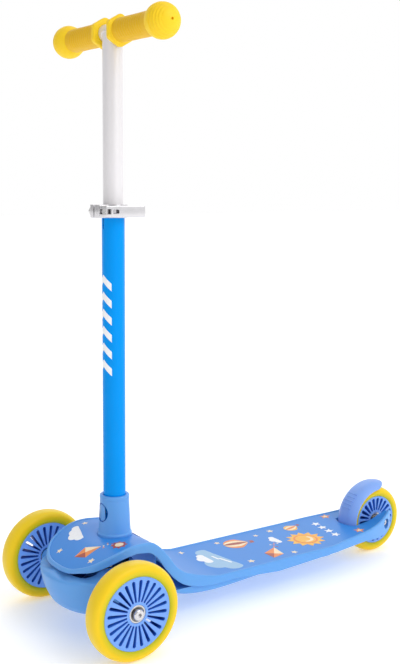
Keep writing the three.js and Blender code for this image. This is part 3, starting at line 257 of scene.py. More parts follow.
def arc_points(radius, start, end, count):
    """Points round zero, from one angle to another."""
    return [(radius * math.cos(a), radius * math.sin(a)) for a in np.linspace(start, end, count)]


def drop_outline(start, end, narrow, wide, steps=8):
    """A long outline along X with round ends, narrow at its start and wide at its end."""
    arc = np.array(arc_points(1, -math.pi / 2, math.pi / 2, steps + 1))
    return np.concatenate((arc * wide / 2 + (end - wide / 2, 0), -arc * narrow / 2 + (start + narrow / 2, 0)))


def hexagon(across):
    return circle(across / math.sqrt(3), 6)


def turned(points, angle):
    c, s = math.cos(angle), math.sin(angle)
    return np.asarray(points) @ np.array(((c, s), (-s, c)))


def signed_area(loop):
    x, y = np.asarray(loop).T
    return (x @ np.roll(y, -1) - y @ np.roll(x, -1)) / 2


def inset(loop, distance):
    """A loop moved inwards, where inwards is to its left."""
    before, after = loop - np.roll(loop, 1, 0), np.roll(loop, -1, 0) - loop
    normals = []
    for a, b in zip(before, after):
        a, b = a / max(np.linalg.norm(a), 1e-12), b / max(np.linalg.norm(b), 1e-12)
        across = np.array((-a[1] - b[1], a[0] + b[0])) / 2
        normals.append(across / max(across @ across, 0.25))
    return loop + distance * np.array(normals)


def inside(points, loops):
    """Which points lie inside the first loop and outside the others."""
    points = np.asarray(points)
    crossings = np.zeros(len(points), int)
    for loop in loops:
        ends = np.roll(loop, -1, 0)
        for (x0, y0), (x1, y1) in zip(loop, ends):
            if y0 == y1:
                continue
            between = (y0 > points[:, 1]) != (y1 > points[:, 1])
            crossings += between & (points[:, 0] < x0 + (points[:, 1] - y0) * (x1 - x0) / (y1 - y0))
    return crossings % 2 == 1


def eased(share):
    """A share from 0 to 1 that starts and ends softly."""
    return share * share * (3 - 2 * share)


# Meshes
def new_piece(name, points, faces):
    mesh = bpy.data.meshes.new(name)
    mesh.from_pydata([tuple(p) for p in points], [], [tuple(f) for f in faces])
    piece = bpy.data.objects.new(name, mesh)
    bpy.context.scene.collection.objects.link(piece)
    tidy(piece)
    return piece


def tidy(piece):
    """Joins doubled points and turns all faces outwards."""
    work = bmesh.new()
    work.from_mesh(piece.data)
    bmesh.ops.remove_doubles(work, verts=work.verts, dist=1e-6)
    bmesh.ops.dissolve_degenerate(work, edges=work.edges, dist=1e-7)
    bmesh.ops.delete(work, geom=[e for e in work.edges if not e.link_faces], context="EDGES")
    bmesh.ops.delete(work, geom=[v for v in work.verts if not v.link_faces], context="VERTS")
    bmesh.ops.recalc_face_normals(work, faces=work.faces)
    work.to_mesh(piece.data)
    work.free()


def bake(piece):
    """Turns the piece's modifiers into plain mesh."""
    bpy.context.view_layer.update()
    graph = bpy.context.evaluated_depsgraph_get()
    mesh = bpy.data.meshes.new_from_object(piece.evaluated_get(graph))
    piece.modifiers.clear()
    piece.data = mesh


def carve(piece, *cutters, operation="DIFFERENCE", solver="MANIFOLD"):
    for cutter in cutters:
        modifier = piece.modifiers.new("carve", "BOOLEAN")
        modifier.operation = operation
        modifier.solver = solver
        modifier.object = cutter
        bake(piece)
        bpy.data.objects.remove(cutter)
        tidy(piece)


def soften(piece, width, segments=2, angle=40):
    """Rounds the edges that are sharper than an angle."""
    edge = piece.modifiers.new("edge", "BEVEL")
    edge.width = width
    edge.segments = segments
    edge.limit_method = "ANGLE"
    edge.angle_limit = math.radians(angle)


def merge(piece, *others):
    """Puts other closed shells into the same piece."""
    work = bmesh.new()
    work.from_mesh(piece.data)
    for other in others:
        work.from_mesh(other.data)
        bpy.data.objects.remove(other)
    work.to_mesh(piece.data)
    work.free()
    return piece


def along(axis, centre=(0, 0, 0)):
    """The matrix that takes local Z to an axis through a centre."""
    turn = Vector(axis).to_track_quat("Z", "Y").to_matrix().to_4x4()
    return Matrix.Translation(Vector(centre)) @ turn


def side_plane(centre=(0, 0, 0)):
    """The matrix that draws an outline in X and Z, with its thickness towards +Y at the high end."""
    x, y, z = centre
    return Matrix(((1, 0, 0, x), (0, 0, 1, y), (0, 1, 0, z), (0, 0, 0, 1)))


def front_plane(x, z=0.0):
    """The matrix that draws an outline in Y and Z, with its thickness towards +X."""
    return Matrix(((0, 0, 1, x), (1, 0, 0, 0), (0, 1, 0, z), (0, 0, 0, 1)))


def moved(points, matrix):
    return [matrix @ Vector(p) for p in points]


def lathe(name, profile, matrix, steps=96):
    """A closed profile of (radius, place along the axis), turned round local Z."""
    profile = [tuple(p) for p in profile]
    points = []
    for radius, place in profile:
        for k in range(steps):
            angle = TURN * k / steps
            points.append((radius * math.cos(angle), radius * math.sin(angle), place))
    faces = []
    for i in range(len(profile)):
        j = (i + 1) % len(profile)
        if profile[i][0] == 0 and profile[j][0] == 0:
            continue
        for k in range(steps):
            m = (k + 1) % steps
            faces.append((i * steps + k, i * steps + m, j * steps + m, j * steps + k))
    return new_piece(name, moved(points, matrix), faces)


def rod(name, radius, low, high, matrix, steps=48, edge=0, bore=0, bore_edge=0, arcs=4):
    """A round bar along local Z, or a sleeve where it has a bore, with rounded edges."""
    corners = [(bore, low, bore_edge), (radius, low, edge), (radius, high, edge), (bore, high, bore_edge)]
    return lathe(name, rounded(corners, arcs), matrix, steps)


def skin(name, rows, ring=False):
    """A surface through rows of points. Each row closes on itself, and the ends are capped. In a ring
    the rows stay open, and the last meets the first."""
    rows = np.asarray(rows)
    count, width = rows.shape[:2]
    faces = []
    for i in range(count if ring else count - 1):
        n = (i + 1) % count
        for k in range(width - 1 if ring else width):
            m = (k + 1) % width
            faces.append((i * width + k, i * width + m, n * width + m, n * width + k))
    if not ring:
        faces.append(tuple(range(width)))
        faces.append(tuple(range((count - 1) * width, count * width))[::-1])
    return new_piece(name, rows.reshape(-1, 3), faces)


def prism(name, loops, low, high, matrix=None, bevel=0.0, steps=3, drape=None, grain=None):
    """A flat outline with holes, given thickness and round edges. drape(x, y) lifts it, and grain is the
    spacing of the inner points that let it follow a curved surface."""
    loops = [np.asarray(loop, float) for loop in loops]
    loops = [loop if (signed_area(loop) > 0) == (i == 0) else loop[::-1] for i, loop in enumerate(loops)]
    angles = np.linspace(0, math.pi / 2, steps + 1) if bevel else [math.pi / 2]
    rise = [(bevel * (1 - math.sin(a)), bevel * (1 - math.cos(a))) for a in angles]
    rings = [(shift, low + up) for shift, up in rise] + [(shift, high - up) for shift, up in rise[::-1]]
    if bevel:
        rings = [(bevel * 1.6, low), *rings, (bevel * 1.6, high)]
    points, faces = [], []
    starts = []
    for loop in loops:
        starts.append(len(points))
        for shift, height in rings:
            points += [(x, y, height) for x, y in inset(loop, shift)]
        size = len(loop)
        for i in range(len(rings) - 1):
            for k in range(size):
                m = (k + 1) % size
                a, b = starts[-1] + i * size, starts[-1] + (i + 1) * size
                faces.append((a + k, a + m, b + m, b + k))
    edge_loops = [inset(loop, rings[0][0]) for loop in loops]
    flat = np.concatenate(edge_loops)
    edges = []
    first = 0
    for loop in loops:
        edges += [(first + k, first + (k + 1) % len(loop)) for k in range(len(loop))]
        first += len(loop)
    if grain:
        (x0, y0), (x1, y1) = flat.min(0), flat.max(0)
        grid = np.array([(x, y) for x in np.arange(x0, x1, grain) for y in np.arange(y0, y1, grain)])
        grid = grid[inside(grid, edge_loops)]
        near = np.array([np.abs(flat - p).sum(1).min() > grain * 0.4 for p in grid], bool)
        flat = np.concatenate((flat, grid[near]))
    corners, _, triangles, *_ = delaunay_2d_cdt([Vector(p) for p in flat], edges, [], 0, 1e-9)
    corners = np.array([tuple(c) for c in corners])
    middles = np.array([corners[list(t)].mean(0) for t in triangles])
    kept = [t for t, keep in zip(triangles, inside(middles, edge_loops)) if keep]
    for height, flipped in ((rings[0][1], True), (rings[-1][1], False)):
        first = len(points)
        points += [(x, y, height) for x, y in corners]
        faces += [[first + i for i in (t[::-1] if flipped else t)] for t in kept]
    if drape:
        points = [(x, y, z + drape(x, y)) for x, y, z in points]
    return new_piece(name, moved(points, matrix) if matrix else points, faces)


def tube_along(name, centres, radius, steps=12):
    """A round bar along a line of points."""
    centres = np.array(centres)
    runs = np.gradient(centres, axis=0)
    rows = []
    side = Vector(UP if abs(runs[0][2]) < np.linalg.norm(runs[0]) * 0.9 else (1, 0, 0))
    for centre, run in zip(centres, runs):
        run = Vector(run).normalized()
        side = (side - run * side.dot(run)).normalized()
        other = run.cross(side)
        rows.append([Vector(centre) + radius * (side * math.cos(a) + other * math.sin(a))
                     for a in np.arange(steps) * TURN / steps])
    return skin(name, rows)


def shade(piece, angle=32):
    piece.data.shade_smooth()
    piece.data.set_sharp_from_angle(angle=math.radians(angle))
    return piece


def dress(piece, material, *nodes, body=None, slot=None, angle=32):
    """Gives a piece its finish and lets it stand for the nodes, on their body. A piece that stands for none
    says its body; its slot is not used."""
    piece.data.materials.clear()
    piece.data.materials.append(material)
    shade(piece, angle)
    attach(piece, body or BODY_OF[nodes[0]])
    if nodes:
        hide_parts(*nodes)


def paint(piece, material, test):
    """Gives another finish to the faces whose middle passes the test."""
    piece.data.materials.append(material)
    for face in piece.data.polygons:
        if test(face.center):
            face.material_index = len(piece.data.materials) - 1


# Finishes
GLOSS_CHANGE = 0.12
GRAIN_HEIGHT = 0.3 * MM


def feed(tree, node, inputs):
    """Sets a node's inputs, each to a value or to the output of another node."""
    for socket, value in inputs.items():
        if isinstance(value, bpy.types.NodeSocket):
            tree.links.new(value, node.inputs[socket])
        else:
            node.inputs[socket].default_value = value


def add_node(tree, kind, inputs):
    node = tree.nodes.new(f"ShaderNode{kind}")
    feed(tree, node, inputs)
    return node


def mixed(tree, factor, first, second):
    """The output of a node that mixes two colours."""
    mix = tree.nodes.new("ShaderNodeMix")
    mix.data_type = "RGBA"
    feed(tree, mix, {"Factor": factor, "A": first, "B": second})
    return mix.outputs["Result"]


def finish(name, color, roughness, mottle=0.04, mottle_size=30, grain=900, bump=0.02, **sockets):
    """A finish with a faint change of tone, an uneven gloss and a fine grain."""
    material = bpy.data.materials.new(f"{name}_finish")
    material.use_nodes = True
    tree = material.node_tree
    place = add_node(tree, "TexCoord", {}).outputs["Object"]
    clouds = add_node(tree, "TexNoise", {"Vector": place, "Scale": mottle_size, "Detail": 3}).outputs["Fac"]
    dark, light = ((*[min(c * (1 + change), 1) for c in color], 1) for change in (-mottle, mottle))
    low, high = roughness * (1 - GLOSS_CHANGE), roughness * (1 + GLOSS_CHANGE)
    gloss = add_node(tree, "MapRange", {"Value": clouds, "To Min": low, "To Max": high})
    grains = add_node(tree, "TexNoise", {"Vector": place, "Scale": grain, "Detail": 2}).outputs["Fac"]
    relief = add_node(tree, "Bump", {"Strength": bump, "Distance": GRAIN_HEIGHT, "Height": grains})
    inputs = {"Base Color": mixed(tree, clouds, dark, light), "Roughness": gloss.outputs["Result"],
              "Normal": relief.outputs["Normal"]}
    for socket, value in sockets.items():
        inputs[socket.replace("_", " ").title().replace("Ior", "IOR")] = value
    feed(tree, tree.nodes["Principled BSDF"], inputs)
    return material


def linear(red, green, blue):
    """A colour as seen on a screen, from 0 to 255, as Blender's linear colour."""
    shares = (red / 255, green / 255, blue / 255)
    return tuple(c / 12.92 if c <= 0.04 else ((c + 0.055) / 1.055) ** 2.4 for c in shares)


def tyre_finish(name, centre, hub_radius, wheel_radius):
    """Cast yellow rubber with painted light: a tint of the blue hub's light through the rubber makes it
    greener and darker at the hub, and painted shading makes it lighter and warmer at the tread.
    """
    material = finish(name, linear(238, 202, 16), 0.36, mottle=0.03, mottle_size=18, grain=500, bump=0.03,
                      subsurface_weight=0.3, subsurface_scale=6 * MM, subsurface_radius=(1.0, 0.7, 0.1),
                      specular_ior_level=0.3)
    tree = material.node_tree
    tone = next(node for node in tree.nodes if node.type == "MIX").outputs["Result"]
    place = next(node for node in tree.nodes if node.type == "TEX_COORD").outputs["Object"]
    steps = (("SUBTRACT", {1: centre}), ("MULTIPLY", {1: (1, 0, 1)}), ("LENGTH", {}))
    for operation, inputs in steps:
        math_node = add_node(tree, "VectorMath", {0: place, **inputs})
        math_node.operation = operation
        place = math_node.outputs["Value" if operation == "LENGTH" else "Vector"]
    # Painted light: the tone runs from greener and darker at the hub, tinted by the blue hub's light through
    # the rubber, to lighter at the tread.
    share = add_node(tree, "MapRange", {"Value": place, "From Min": hub_radius, "From Max": wheel_radius})
    ramp = add_node(tree, "ValToRGB", {"Fac": share.outputs["Result"]})
    stops = ramp.color_ramp.elements
    for position, color in ((0.28, (212, 194, 8)), (0.6, (240, 202, 10))):
        stops.new(position).color = (*linear(*color), 1)
    stops[0].color = (*linear(168, 176, 8), 1)
    stops[-1].color = (*linear(244, 210, 40), 1)
    feed(tree, tree.nodes["Principled BSDF"], {"Base Color": mixed(tree, 0.85, tone, ramp.outputs["Color"])})
    return material


def rubber(name, color, roughness, milky, depth, sheen):
    return finish(name, linear(*color), roughness, mottle=0.05, mottle_size=60, grain=1400, bump=0.12,
                  subsurface_weight=milky, subsurface_scale=depth, subsurface_radius=(1.0, 0.6, 0.1),
                  specular_ior_level=sheen)


body_plastic = finish("body_plastic", linear(96, 162, 232), 0.36, mottle=0.03, subsurface_weight=0.08,
                      subsurface_scale=2 * MM, specular_ior_level=0.35)
# Painted shade: a darker blue put on the walls of the hub's slots and of the button's pocket, where shade
# falls.
recess_painted_shade = finish("recess_painted_shade", linear(56, 118, 214), 0.5, mottle=0.1, specular_ior_level=0.2)
hub_plastic = finish("hub_plastic", linear(112, 162, 240), 0.34, mottle=0.03, subsurface_weight=0.1,
                     subsurface_scale=2 * MM)
fender_plastic = finish("fender_plastic", linear(132, 172, 244), 0.38, subsurface_weight=0.1,
                        subsurface_scale=3 * MM, specular_ior_level=0.4)
dark_plastic = finish("dark_plastic", linear(40, 88, 165), 0.5, mottle=0.08)
mat_skin = finish("mat_skin", linear(54, 138, 224), 0.34, mottle=0.05, grain=1500, bump=0.05,
                  specular_ior_level=0.35)
steel = finish("steel", (0.6, 0.59, 0.59), 0.24, mottle=0.1, mottle_size=120, grain=2500, metallic=1.0)
bright_steel = finish("bright_steel", (0.66, 0.65, 0.67), 0.2, mottle=0.06, mottle_size=90, grain=2000,
                      metallic=1.0)
shield_steel = finish("shield_steel", (0.2, 0.19, 0.18), 0.35, mottle=0.15, mottle_size=200, metallic=1.0)
azure_paint = finish("azure_paint", linear(0, 148, 238), 0.24, mottle=0.03, bump=0.01,
                     specular_ior_level=0.06, coat_weight=0.04, coat_roughness=0.1)
silver_coat = finish("silver_coat", (0.79, 0.77, 0.79), 0.34, mottle_size=15, bump=0.015, metallic=0.3)
grip_rubber = rubber("grip_rubber", (248, 208, 26), 0.5, 0.15, 3 * MM, 0.35)
# Painted shade: a darker, more orange copy of the grip rubber for the palm, standing in for the shade on the
# grip's body.
palm_painted_shade = rubber("palm_painted_shade", (230, 182, 22), 0.55, 0.1, 2 * MM, 0.3)
front_tyre = tyre_finish("front_tyre", (FRONT_AXLE_X, 0, FRONT_AXLE.z), 45 * MM, 60 * MM)
rear_tyre = tyre_finish("rear_tyre", (REAR_AXLE_X, 0, REAR_AXLE.z), 36 * MM, 50 * MM)
PRINT_COLORS = {
    "white": (245, 246, 250), "cream": (250, 226, 190), "orange": (238, 138, 66), "yellow": (248, 186, 62),
    "brown": (168, 72, 58), "mist": (150, 192, 226),
}
prints = {name: finish(f"print_{name}", linear(*color), 0.34, mottle=0.07, mottle_size=260, grain=1500,
                       bump=0.04) for name, color in PRINT_COLORS.items()}


# Wheels
def tyre(wheel, material):
    node = f"{wheel}_tyre"
    outer = half_height(node)
    inner = half_height(f"{wheel}_hub") - 0.1 * MM
    side = line_of(TYRE_SIDE_SHARES, 26, lambda a: inner + a * (outer - inner), lambda b: b * TYRE_HALF_WIDTH)
    profile = side + [(radius, -y) for radius, y in side[-2::-1]]
    dress(lathe(f"{node}_cast", profile, along(ACROSS, middle(node)), 160), material, node, angle=50)


def hub(wheel):
    """A hub with drop shaped slots, whose walls are painted darker within as shade."""
    node = f"{wheel}_hub"
    centre = middle(node)
    outer = half_height(node)
    (count, shift), widths, rim_wall = HUB_SLOTS["rear" if wheel == "rear" else "front"]
    slot = drop_outline(SLOT_START, outer - rim_wall, *widths)
    slots = [turned(slot, TURN * k / count + shift) for k in range(count)]
    loops = [circle(outer, 192), circle(BEARING_RADIUS + 0.1 * MM), *slots]
    piece = prism(f"{node}_moulded", loops, -HUB_HALF_WIDTH, HUB_HALF_WIDTH, side_plane(centre), HUB_BEVEL)
    dress(piece, hub_plastic, node)
    deep = HUB_HALF_WIDTH - HUB_BEVEL
    # The slots' walls get the painted shade.
    paint(piece, recess_painted_shade, lambda p: abs(p.y - centre.y) < deep
          and BEARING_RADIUS + 1 * MM < math.hypot(p.x - centre.x, p.z - centre.z) < outer - 1 * MM)


def bearing(node):
    """A ball bearing seen from outside: two races with a sunk shield between them on each side."""
    centre = middle(node)
    half = half_width(node)
    edge = 0.35 * MM
    race_in, race_out = BEARING_BORE + BEARING_RACE, BEARING_RADIUS - BEARING_RACE
    deep = half - SHIELD_DEPTH
    far_side = [(BEARING_RADIUS, half, edge), (race_out, half, edge / 2), (race_out, deep, 0),
                (race_in, deep, 0), (race_in, half, edge / 2), (BEARING_BORE, half, edge)]
    corners = [(radius, -y, size) for radius, y, size in far_side[::-1]] + far_side
    piece = lathe(f"{node}_ring", rounded(corners, 3), along(ACROSS, centre), 72)
    dress(piece, steel, node)
    paint(piece, shield_steel, lambda p: race_in < math.hypot(p.x - centre.x, p.z - centre.z) < race_out)


def axle_bolt(node, side):
    low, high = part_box(node)
    centre = middle(node)
    tip, top = (low.y, high.y) if side > 0 else (high.y, low.y)
    length = abs(top - tip)
    neck = length - BOLT_HEAD_HEIGHT
    profile = rounded([
        (0, 0, 0), (AXLE_RADIUS, 0, 0.5 * MM), (AXLE_RADIUS, neck, 0.3 * MM),
        (BOLT_HEAD_RADIUS, neck, 0.4 * MM), (BOLT_HEAD_RADIUS, length, BOLT_DOME), (0, length, 0),
    ], 8)
    matrix = along((0, side, 0), (centre.x, tip, centre.z))
    piece = lathe(f"{node}_turned", profile, matrix, 72)
    socket = [hexagon(BOLT_SOCKET_ACROSS)]
    carve(piece, prism("socket", socket, length - BOLT_SOCKET_DEPTH, length + MM, matrix))
    dress(piece, bright_steel, node)


def hex_nut(node, across, hole):
    half = half_width(node)
    loops = [hexagon(across), circle(hole, 48)]
    dress(prism(f"{node}_milled", loops, -half, half, along(ACROSS, middle(node)), 0.6 * MM), steel, node)


# Lines of the deck
def line_of(shares, count, x, z):
    """A smooth line through pairs of shares, with the functions that turn them into places."""
    return [(x(a), z(b)) for a, b in spline(shares, count)]


def tail_x(share):
    return TAIL_START_X - share * TAIL_LENGTH


def ramp_x(share):
    return RAMP_FOOT_X + share * (CREST_X - RAMP_FOOT_X)


def nose_x(share):
    return CREST_X + share * NOSE_REACH


TOP_LINE = np.array(
    line_of(TAIL_SHARES, 60, tail_x, lambda b: DECK_HEIGHT + b * TAIL_RISE)[::-1]
    + line_of(RAMP_SHARES, 90, ramp_x, lambda b: DECK_HEIGHT + b * (CREST_HEIGHT - DECK_HEIGHT))
    + line_of(NOSE_SHARES, 60, nose_x, lambda b: CREST_HEIGHT - b * NOSE_DROP)[1:])


def top_at(x):
    """Height of the deck's and nose's upper edge."""
    return np.interp(x, TOP_LINE[:, 0], TOP_LINE[:, 1])


NOSE_EDGE = line_of(NOSE_EDGE_SHARES, 40, nose_x, lambda b: b * NOSE_EDGE_DEPTH)
BAND_LOW = np.array(
    line_of(BAND_TAIL_SHARES, 60, tail_x, lambda b: DECK_HEIGHT * b)[::-1]
    + [((TAIL_START_X + RAMP_FOOT_X) / 2, DECK_HEIGHT * BAND_MIDDLE_SHARE)]
    + line_of(BAND_RAMP_SHARES, 90, ramp_x, lambda b: CREST_HEIGHT * b)
    + [(x, top_at(x) - depth) for x, depth in NOSE_EDGE])


def band_at(x):
    """Height of the lower edge of the side band."""
    return np.interp(x, BAND_LOW[:, 0], BAND_LOW[:, 1])


def under_at(x):
    """Height of the plate's underside, which meets the band's edge where the nose gets thin."""
    return max(top_at(x) - PLATE_UNDER, band_at(x) + BAND_EDGE + HAIR)


def dish(x, y):
    """How far the plate and its mat dip round the neck."""
    away = math.hypot(x - COLUMN_X, y)
    return DISH_DEPTH * eased(np.clip((DISH_RADIUS - away) / DISH_RUN, 0, 1))


def half_outline():
    """The left half of the outline from above, from nose tip to tail end, and its inward directions."""
    nose = line_of(NOSE_OUTLINE_SHARES, 70, nose_x, lambda b: b * NOSE_HALF_WIDTH)
    tail = line_of(TAIL_OUTLINE_SHARES, 40, tail_x, lambda b: b * DECK_HALF_WIDTH)
    end_x, end_y = nose[-1]
    ramp = [(x, np.interp(x, (RAMP_FOOT_X, end_x), (DECK_HALF_WIDTH, end_y)))
            for x in np.linspace(end_x, RAMP_FOOT_X, 41)[1:]]
    flat = [(x, DECK_HALF_WIDTH) for x in np.linspace(RAMP_FOOT_X, TAIL_START_X, 30)[1:-1]]
    line = np.array(nose + ramp + flat + tail)
    runs = np.gradient(line, axis=0)
    runs[0] = (0, 1)
    runs /= np.linalg.norm(runs, axis=1)[:, None]
    return line, np.stack((-runs[:, 1], runs[:, 0]), 1)


OUTLINE, INWARD = half_outline()


def band_section(place, inward):
    """One half of the deck's section: up the inside of its band, over the bead and across to the middle."""
    def at(depth, height):
        x, y = place + inward * depth
        return x, max(y, 0.0), height(x)

    def on_edge(angle):
        return lambda x: band_at(x) + BAND_EDGE * (1 - math.sin(angle))

    def on_bead(angle):
        return lambda x: top_at(x) - BEAD_RADIUS * (1 - math.sin(angle))

    quarter = np.linspace(0, math.pi / 2, 4)
    section = [at(WALL, under_at), at(WALL, lambda x: band_at(x) + BAND_EDGE)]
    section += [at(WALL - BAND_EDGE * (1 - math.cos(a)), on_edge(a)) for a in quarter[1:]]
    section += [at(BAND_EDGE * (1 - math.cos(a)), on_edge(a)) for a in quarter[::-1]]
    section.append(at(0, lambda x: max(top_at(x) - BEAD_RADIUS * 1.4, band_at(x) + BAND_EDGE + HAIR)))
    foot = math.acos((MAT_DROP + MAT_THICKNESS) / BEAD_RADIUS - 1) + math.pi / 2
    section += [at(BEAD_RADIUS * (1 - math.cos(a)), on_bead(a)) for a in np.linspace(0, foot, 10)]
    x, y = place + inward * (BEAD_RADIUS * (1 - math.cos(foot)) + 0.5 * MM)
    for share in np.linspace(0, 1, PLATE_STEPS):
        across = max(y, 0.0) * (1 - share)
        section.append((x, across, top_at(x) - MAT_DROP - MAT_THICKNESS - dish(x, across)))
    return section


def deck_cover():
    """The moulded deck and nose: band, bead, plate, ramp, and the walls and bosses round the rear wheel."""
    rows = []
    for place, inward in zip(OUTLINE, INWARD):
        left = band_section(place, inward)
        x, y, _ = left[-PLATE_STEPS]
        under = [(x, y * (1 - share), under_at(x)) for share in np.linspace(1, 0, 6)[:-1]]
        right = [(px, -py, pz) for px, py, pz in left[-2::-1]]
        below = [(px, -py, pz) for px, py, pz in under[::-1]]
        rows.append(left + right + below + under[1:])
    cover = skin("deck_cover", rows)
    front = TAIL_X + WHEEL_SLOT_LENGTH
    carve(cover, *walls_beside_wheel(front), ramp_rib(), operation="UNION")
    apart = 0.06 * MM
    half = WHEEL_SLOT_HALF - apart
    rear = TAIL_X - PAST_TAIL
    room = rounded([(rear, -half, 0), (front, -half, 4 * MM), (front, half, 4 * MM), (rear, half, 0)])
    half = WHEEL_SLOT_HALF + apart
    seat = along(UP, (COLUMN_X, 0, NECK_LOW.z - FIT))
    cutters = [
        prism("slot", [room], 0, FENDER_PIN.z + 2 * MM), prism("slot", [slot_loop()], 0, 2 * FAR),
        rod("barrel_room", 5.3 * MM, -half, half, along(ACROSS, FENDER_PIN), 64),
        rod("seat", NECK_HOLE, 0, FAR, seat, 96),
        rod("bore", AXLE_RADIUS + FIT, -FAR, FAR, along(ACROSS, REAR_AXLE)),
    ]
    head_room = BOLT_HEAD_RADIUS + 0.8 * MM
    face = WHEEL_SLOT_HALF + SLOT_WALL
    for side in (1, -1):
        sink = rounded([(0, face, 0), (head_room, face, 0.8 * MM), (head_room, FAR, 0), (0, FAR, 0)], 4)
        cutters.append(lathe("room", sink, along((0, side, 0), REAR_AXLE), 64))
    carve(cover, *cutters)
    dress(cover, body_plastic, "deck_shell")


def ramp_rib():
    """The cross rib below the ramp."""
    front = RIB_X + RIB_THICKNESS
    corners = [(RIB_X, RIB_LOW, 0), (front, RIB_LOW, 0), (front, under_at(front) + 2 * MM, 0),
               (RIB_X, under_at(RIB_X) + 2 * MM, 0)]
    return prism("rib", [rounded(corners)], -RIB_HALF_WIDTH, RIB_HALF_WIDTH, side_plane())


def slot_front(y):
    """Front edge of the wheel's slot, which follows the fender's arch and opens a little at its corners."""
    share = min(abs(y) / FENDER_HALF, 1)
    arch = ARCH_X + FENDER_INNER + FENDER_THICKNESS - FENDER_SIDE_DROP * share**3
    return arch + FENDER_GAP * (1 + 1.4 * share**4)


def slot_loop():
    rear = TAIL_X - PAST_TAIL
    front = [(slot_front(y), y) for y in np.linspace(-WHEEL_SLOT_HALF, WHEEL_SLOT_HALF, 41)]
    return np.array([(rear, -WHEEL_SLOT_HALF), *front, (rear, WHEEL_SLOT_HALF)])


def walls_beside_wheel(front):
    """The wall round the wheel's slot, and the bosses that hold the axle and the fender's pin."""
    outer_half = WHEEL_SLOT_HALF + SLOT_WALL
    rows = []
    for x in np.linspace(TAIL_X + 2 * MM, front + SLOT_WALL, 40):
        half = min(outer_half, np.interp(x, OUTLINE[::-1, 0], OUTLINE[::-1, 1]) - 1.5 * MM)
        top, low = top_at(x) - MAT_DROP - MAT_THICKNESS - 0.3 * MM, band_at(x) + 0.4 * MM
        rows.append([(x, -half, low), (x, half, low), (x, half, top), (x, -half, top)])
    bosses = [rod("boss", radius, -outer_half, outer_half, along(ACROSS, (centre.x, 0, centre.z)), 64, 1 * MM)
              for radius, centre in ((DROPOUT_RADIUS, REAR_AXLE), (8 * MM, FENDER_PIN))]
    return [skin("wall", rows), *bosses]


# Mats and prints lie on the cover
def mat_surface(x, y):
    """Height of the mats' upper side."""
    return float(top_at(x)) - MAT_DROP - float(dish(x, y))


def inset_outline(depth):
    """The half outline, moved inwards and cut off at the middle line."""
    line = OUTLINE + INWARD * depth
    return line[line[:, 1] > 0]


def both_sides(half):
    """A half outline with its mirror image."""
    return np.concatenate((half, [(x, -y) for x, y in half[::-1]]))


def mats():
    """The nose mat with its hole for the neck, and the deck mat that goes down beside the wheel's slot."""
    line = inset_outline(MAT_EDGE)
    rear = SEAM_X + SEAM_GAP / 2
    nose_half = line[line[:, 0] > rear]
    tip = (nose_half[0][0] + 0.1 * MM, HAIR)
    nose_loop = both_sides(np.concatenate(([tip], nose_half, [(rear, nose_half[-1][1])])))
    front = SEAM_X - SEAM_GAP / 2
    half = np.interp(front, line[::-1, 0], line[::-1, 1])
    radius = 5 * MM
    tail_end = TAIL_X + 4 * MM
    slot_edge = WHEEL_SLOT_HALF + 0.8 * MM
    corner = [(front - radius * (1 - math.cos(a)), half - radius * (1 - math.sin(a)))
              for a in np.linspace(0, math.pi / 2, 10)]
    side = [tuple(p) for p in line if tail_end < p[0] < front - radius - 1 * MM]
    turn = [(slot_front(y) + 0.9 * MM, y) for y in np.linspace(slot_edge, 0.5 * MM, 20)]
    inner = [(x, slot_edge) for x in np.arange(tail_end, turn[0][0] - 2 * MM, 3 * MM)]
    front_edge = [(front, y) for y in np.arange(0, half - radius, 6 * MM)]
    deck_loop = both_sides(np.array(front_edge + corner + side + inner + turn)[1:])
    foot = -MAT_THICKNESS - 0.2 * MM
    for node, loops, grain in (("nose_mat", [nose_loop, circle(NECK_HOLE, 96, COLUMN_X)], 5 * MM),
                               ("deck_mat", [deck_loop], 6 * MM)):
        piece = prism(f"{node}_skin", loops, foot, 0, None, MAT_EDGE_ROUND, 3, mat_surface, grain)
        dress(piece, mat_skin, node)


drawn = {name: [] for name in PRINT_COLORS}
CLOUD_FOOT = -0.32
PUFFS = [(-0.62, -0.1, 0.3), (-0.2, 0.1, 0.42), (0.28, 0.02, 0.36), (0.68, -0.12, 0.26), (0, -0.1, 0.4)]
SMALL_PUFFS = [(-0.5, -0.05, 0.32), (0.05, 0.1, 0.42), (0.55, -0.05, 0.3), (0, -0.1, 0.4)]


def draw(color, outline, place, size, turn=0.0, layer=0):
    """Keeps one printed outline at a place on the mat. Place and size are in millimetres, and a higher layer
    lies on lower ones."""
    loop = turned(np.array(outline) * (size * MM), turn) + np.array(place) * MM
    drawn[color].append((dense(loop, 2.5 * MM), layer))


def dense(loop, step):
    """A loop with points put between its own, no further apart than about a step."""
    found = []
    for here, ahead in zip(loop, np.roll(loop, -1, 0)):
        pieces = max(int(np.linalg.norm(ahead - here) / step), 1)
        found += [here + (ahead - here) * k / pieces for k in range(pieces)]
    return np.array(found)


def star_outline(points, inner):
    turns = np.arange(points * 2) * math.pi / points
    sizes = np.where(np.arange(points * 2) % 2, inner, 1)
    return np.stack((np.cos(turns) * sizes, np.sin(turns) * sizes), 1)


def cloud_outline(puffs):
    """The outer edge of a row of round puffs over a flat foot."""
    found = []
    for angle in np.linspace(0, TURN, 90, endpoint=False):
        way = np.array((math.cos(angle), math.sin(angle)))
        reach = 0.05
        for x, y, radius in puffs:
            middle_way = np.array((x, y)) @ way
            root = middle_way**2 - (x * x + y * y - radius * radius)
            if root > 0:
                reach = max(reach, middle_way + math.sqrt(root))
        found.append(way * reach)
    found = np.array(found)
    found[:, 1] = np.maximum(found[:, 1], CLOUD_FOOT)
    return found


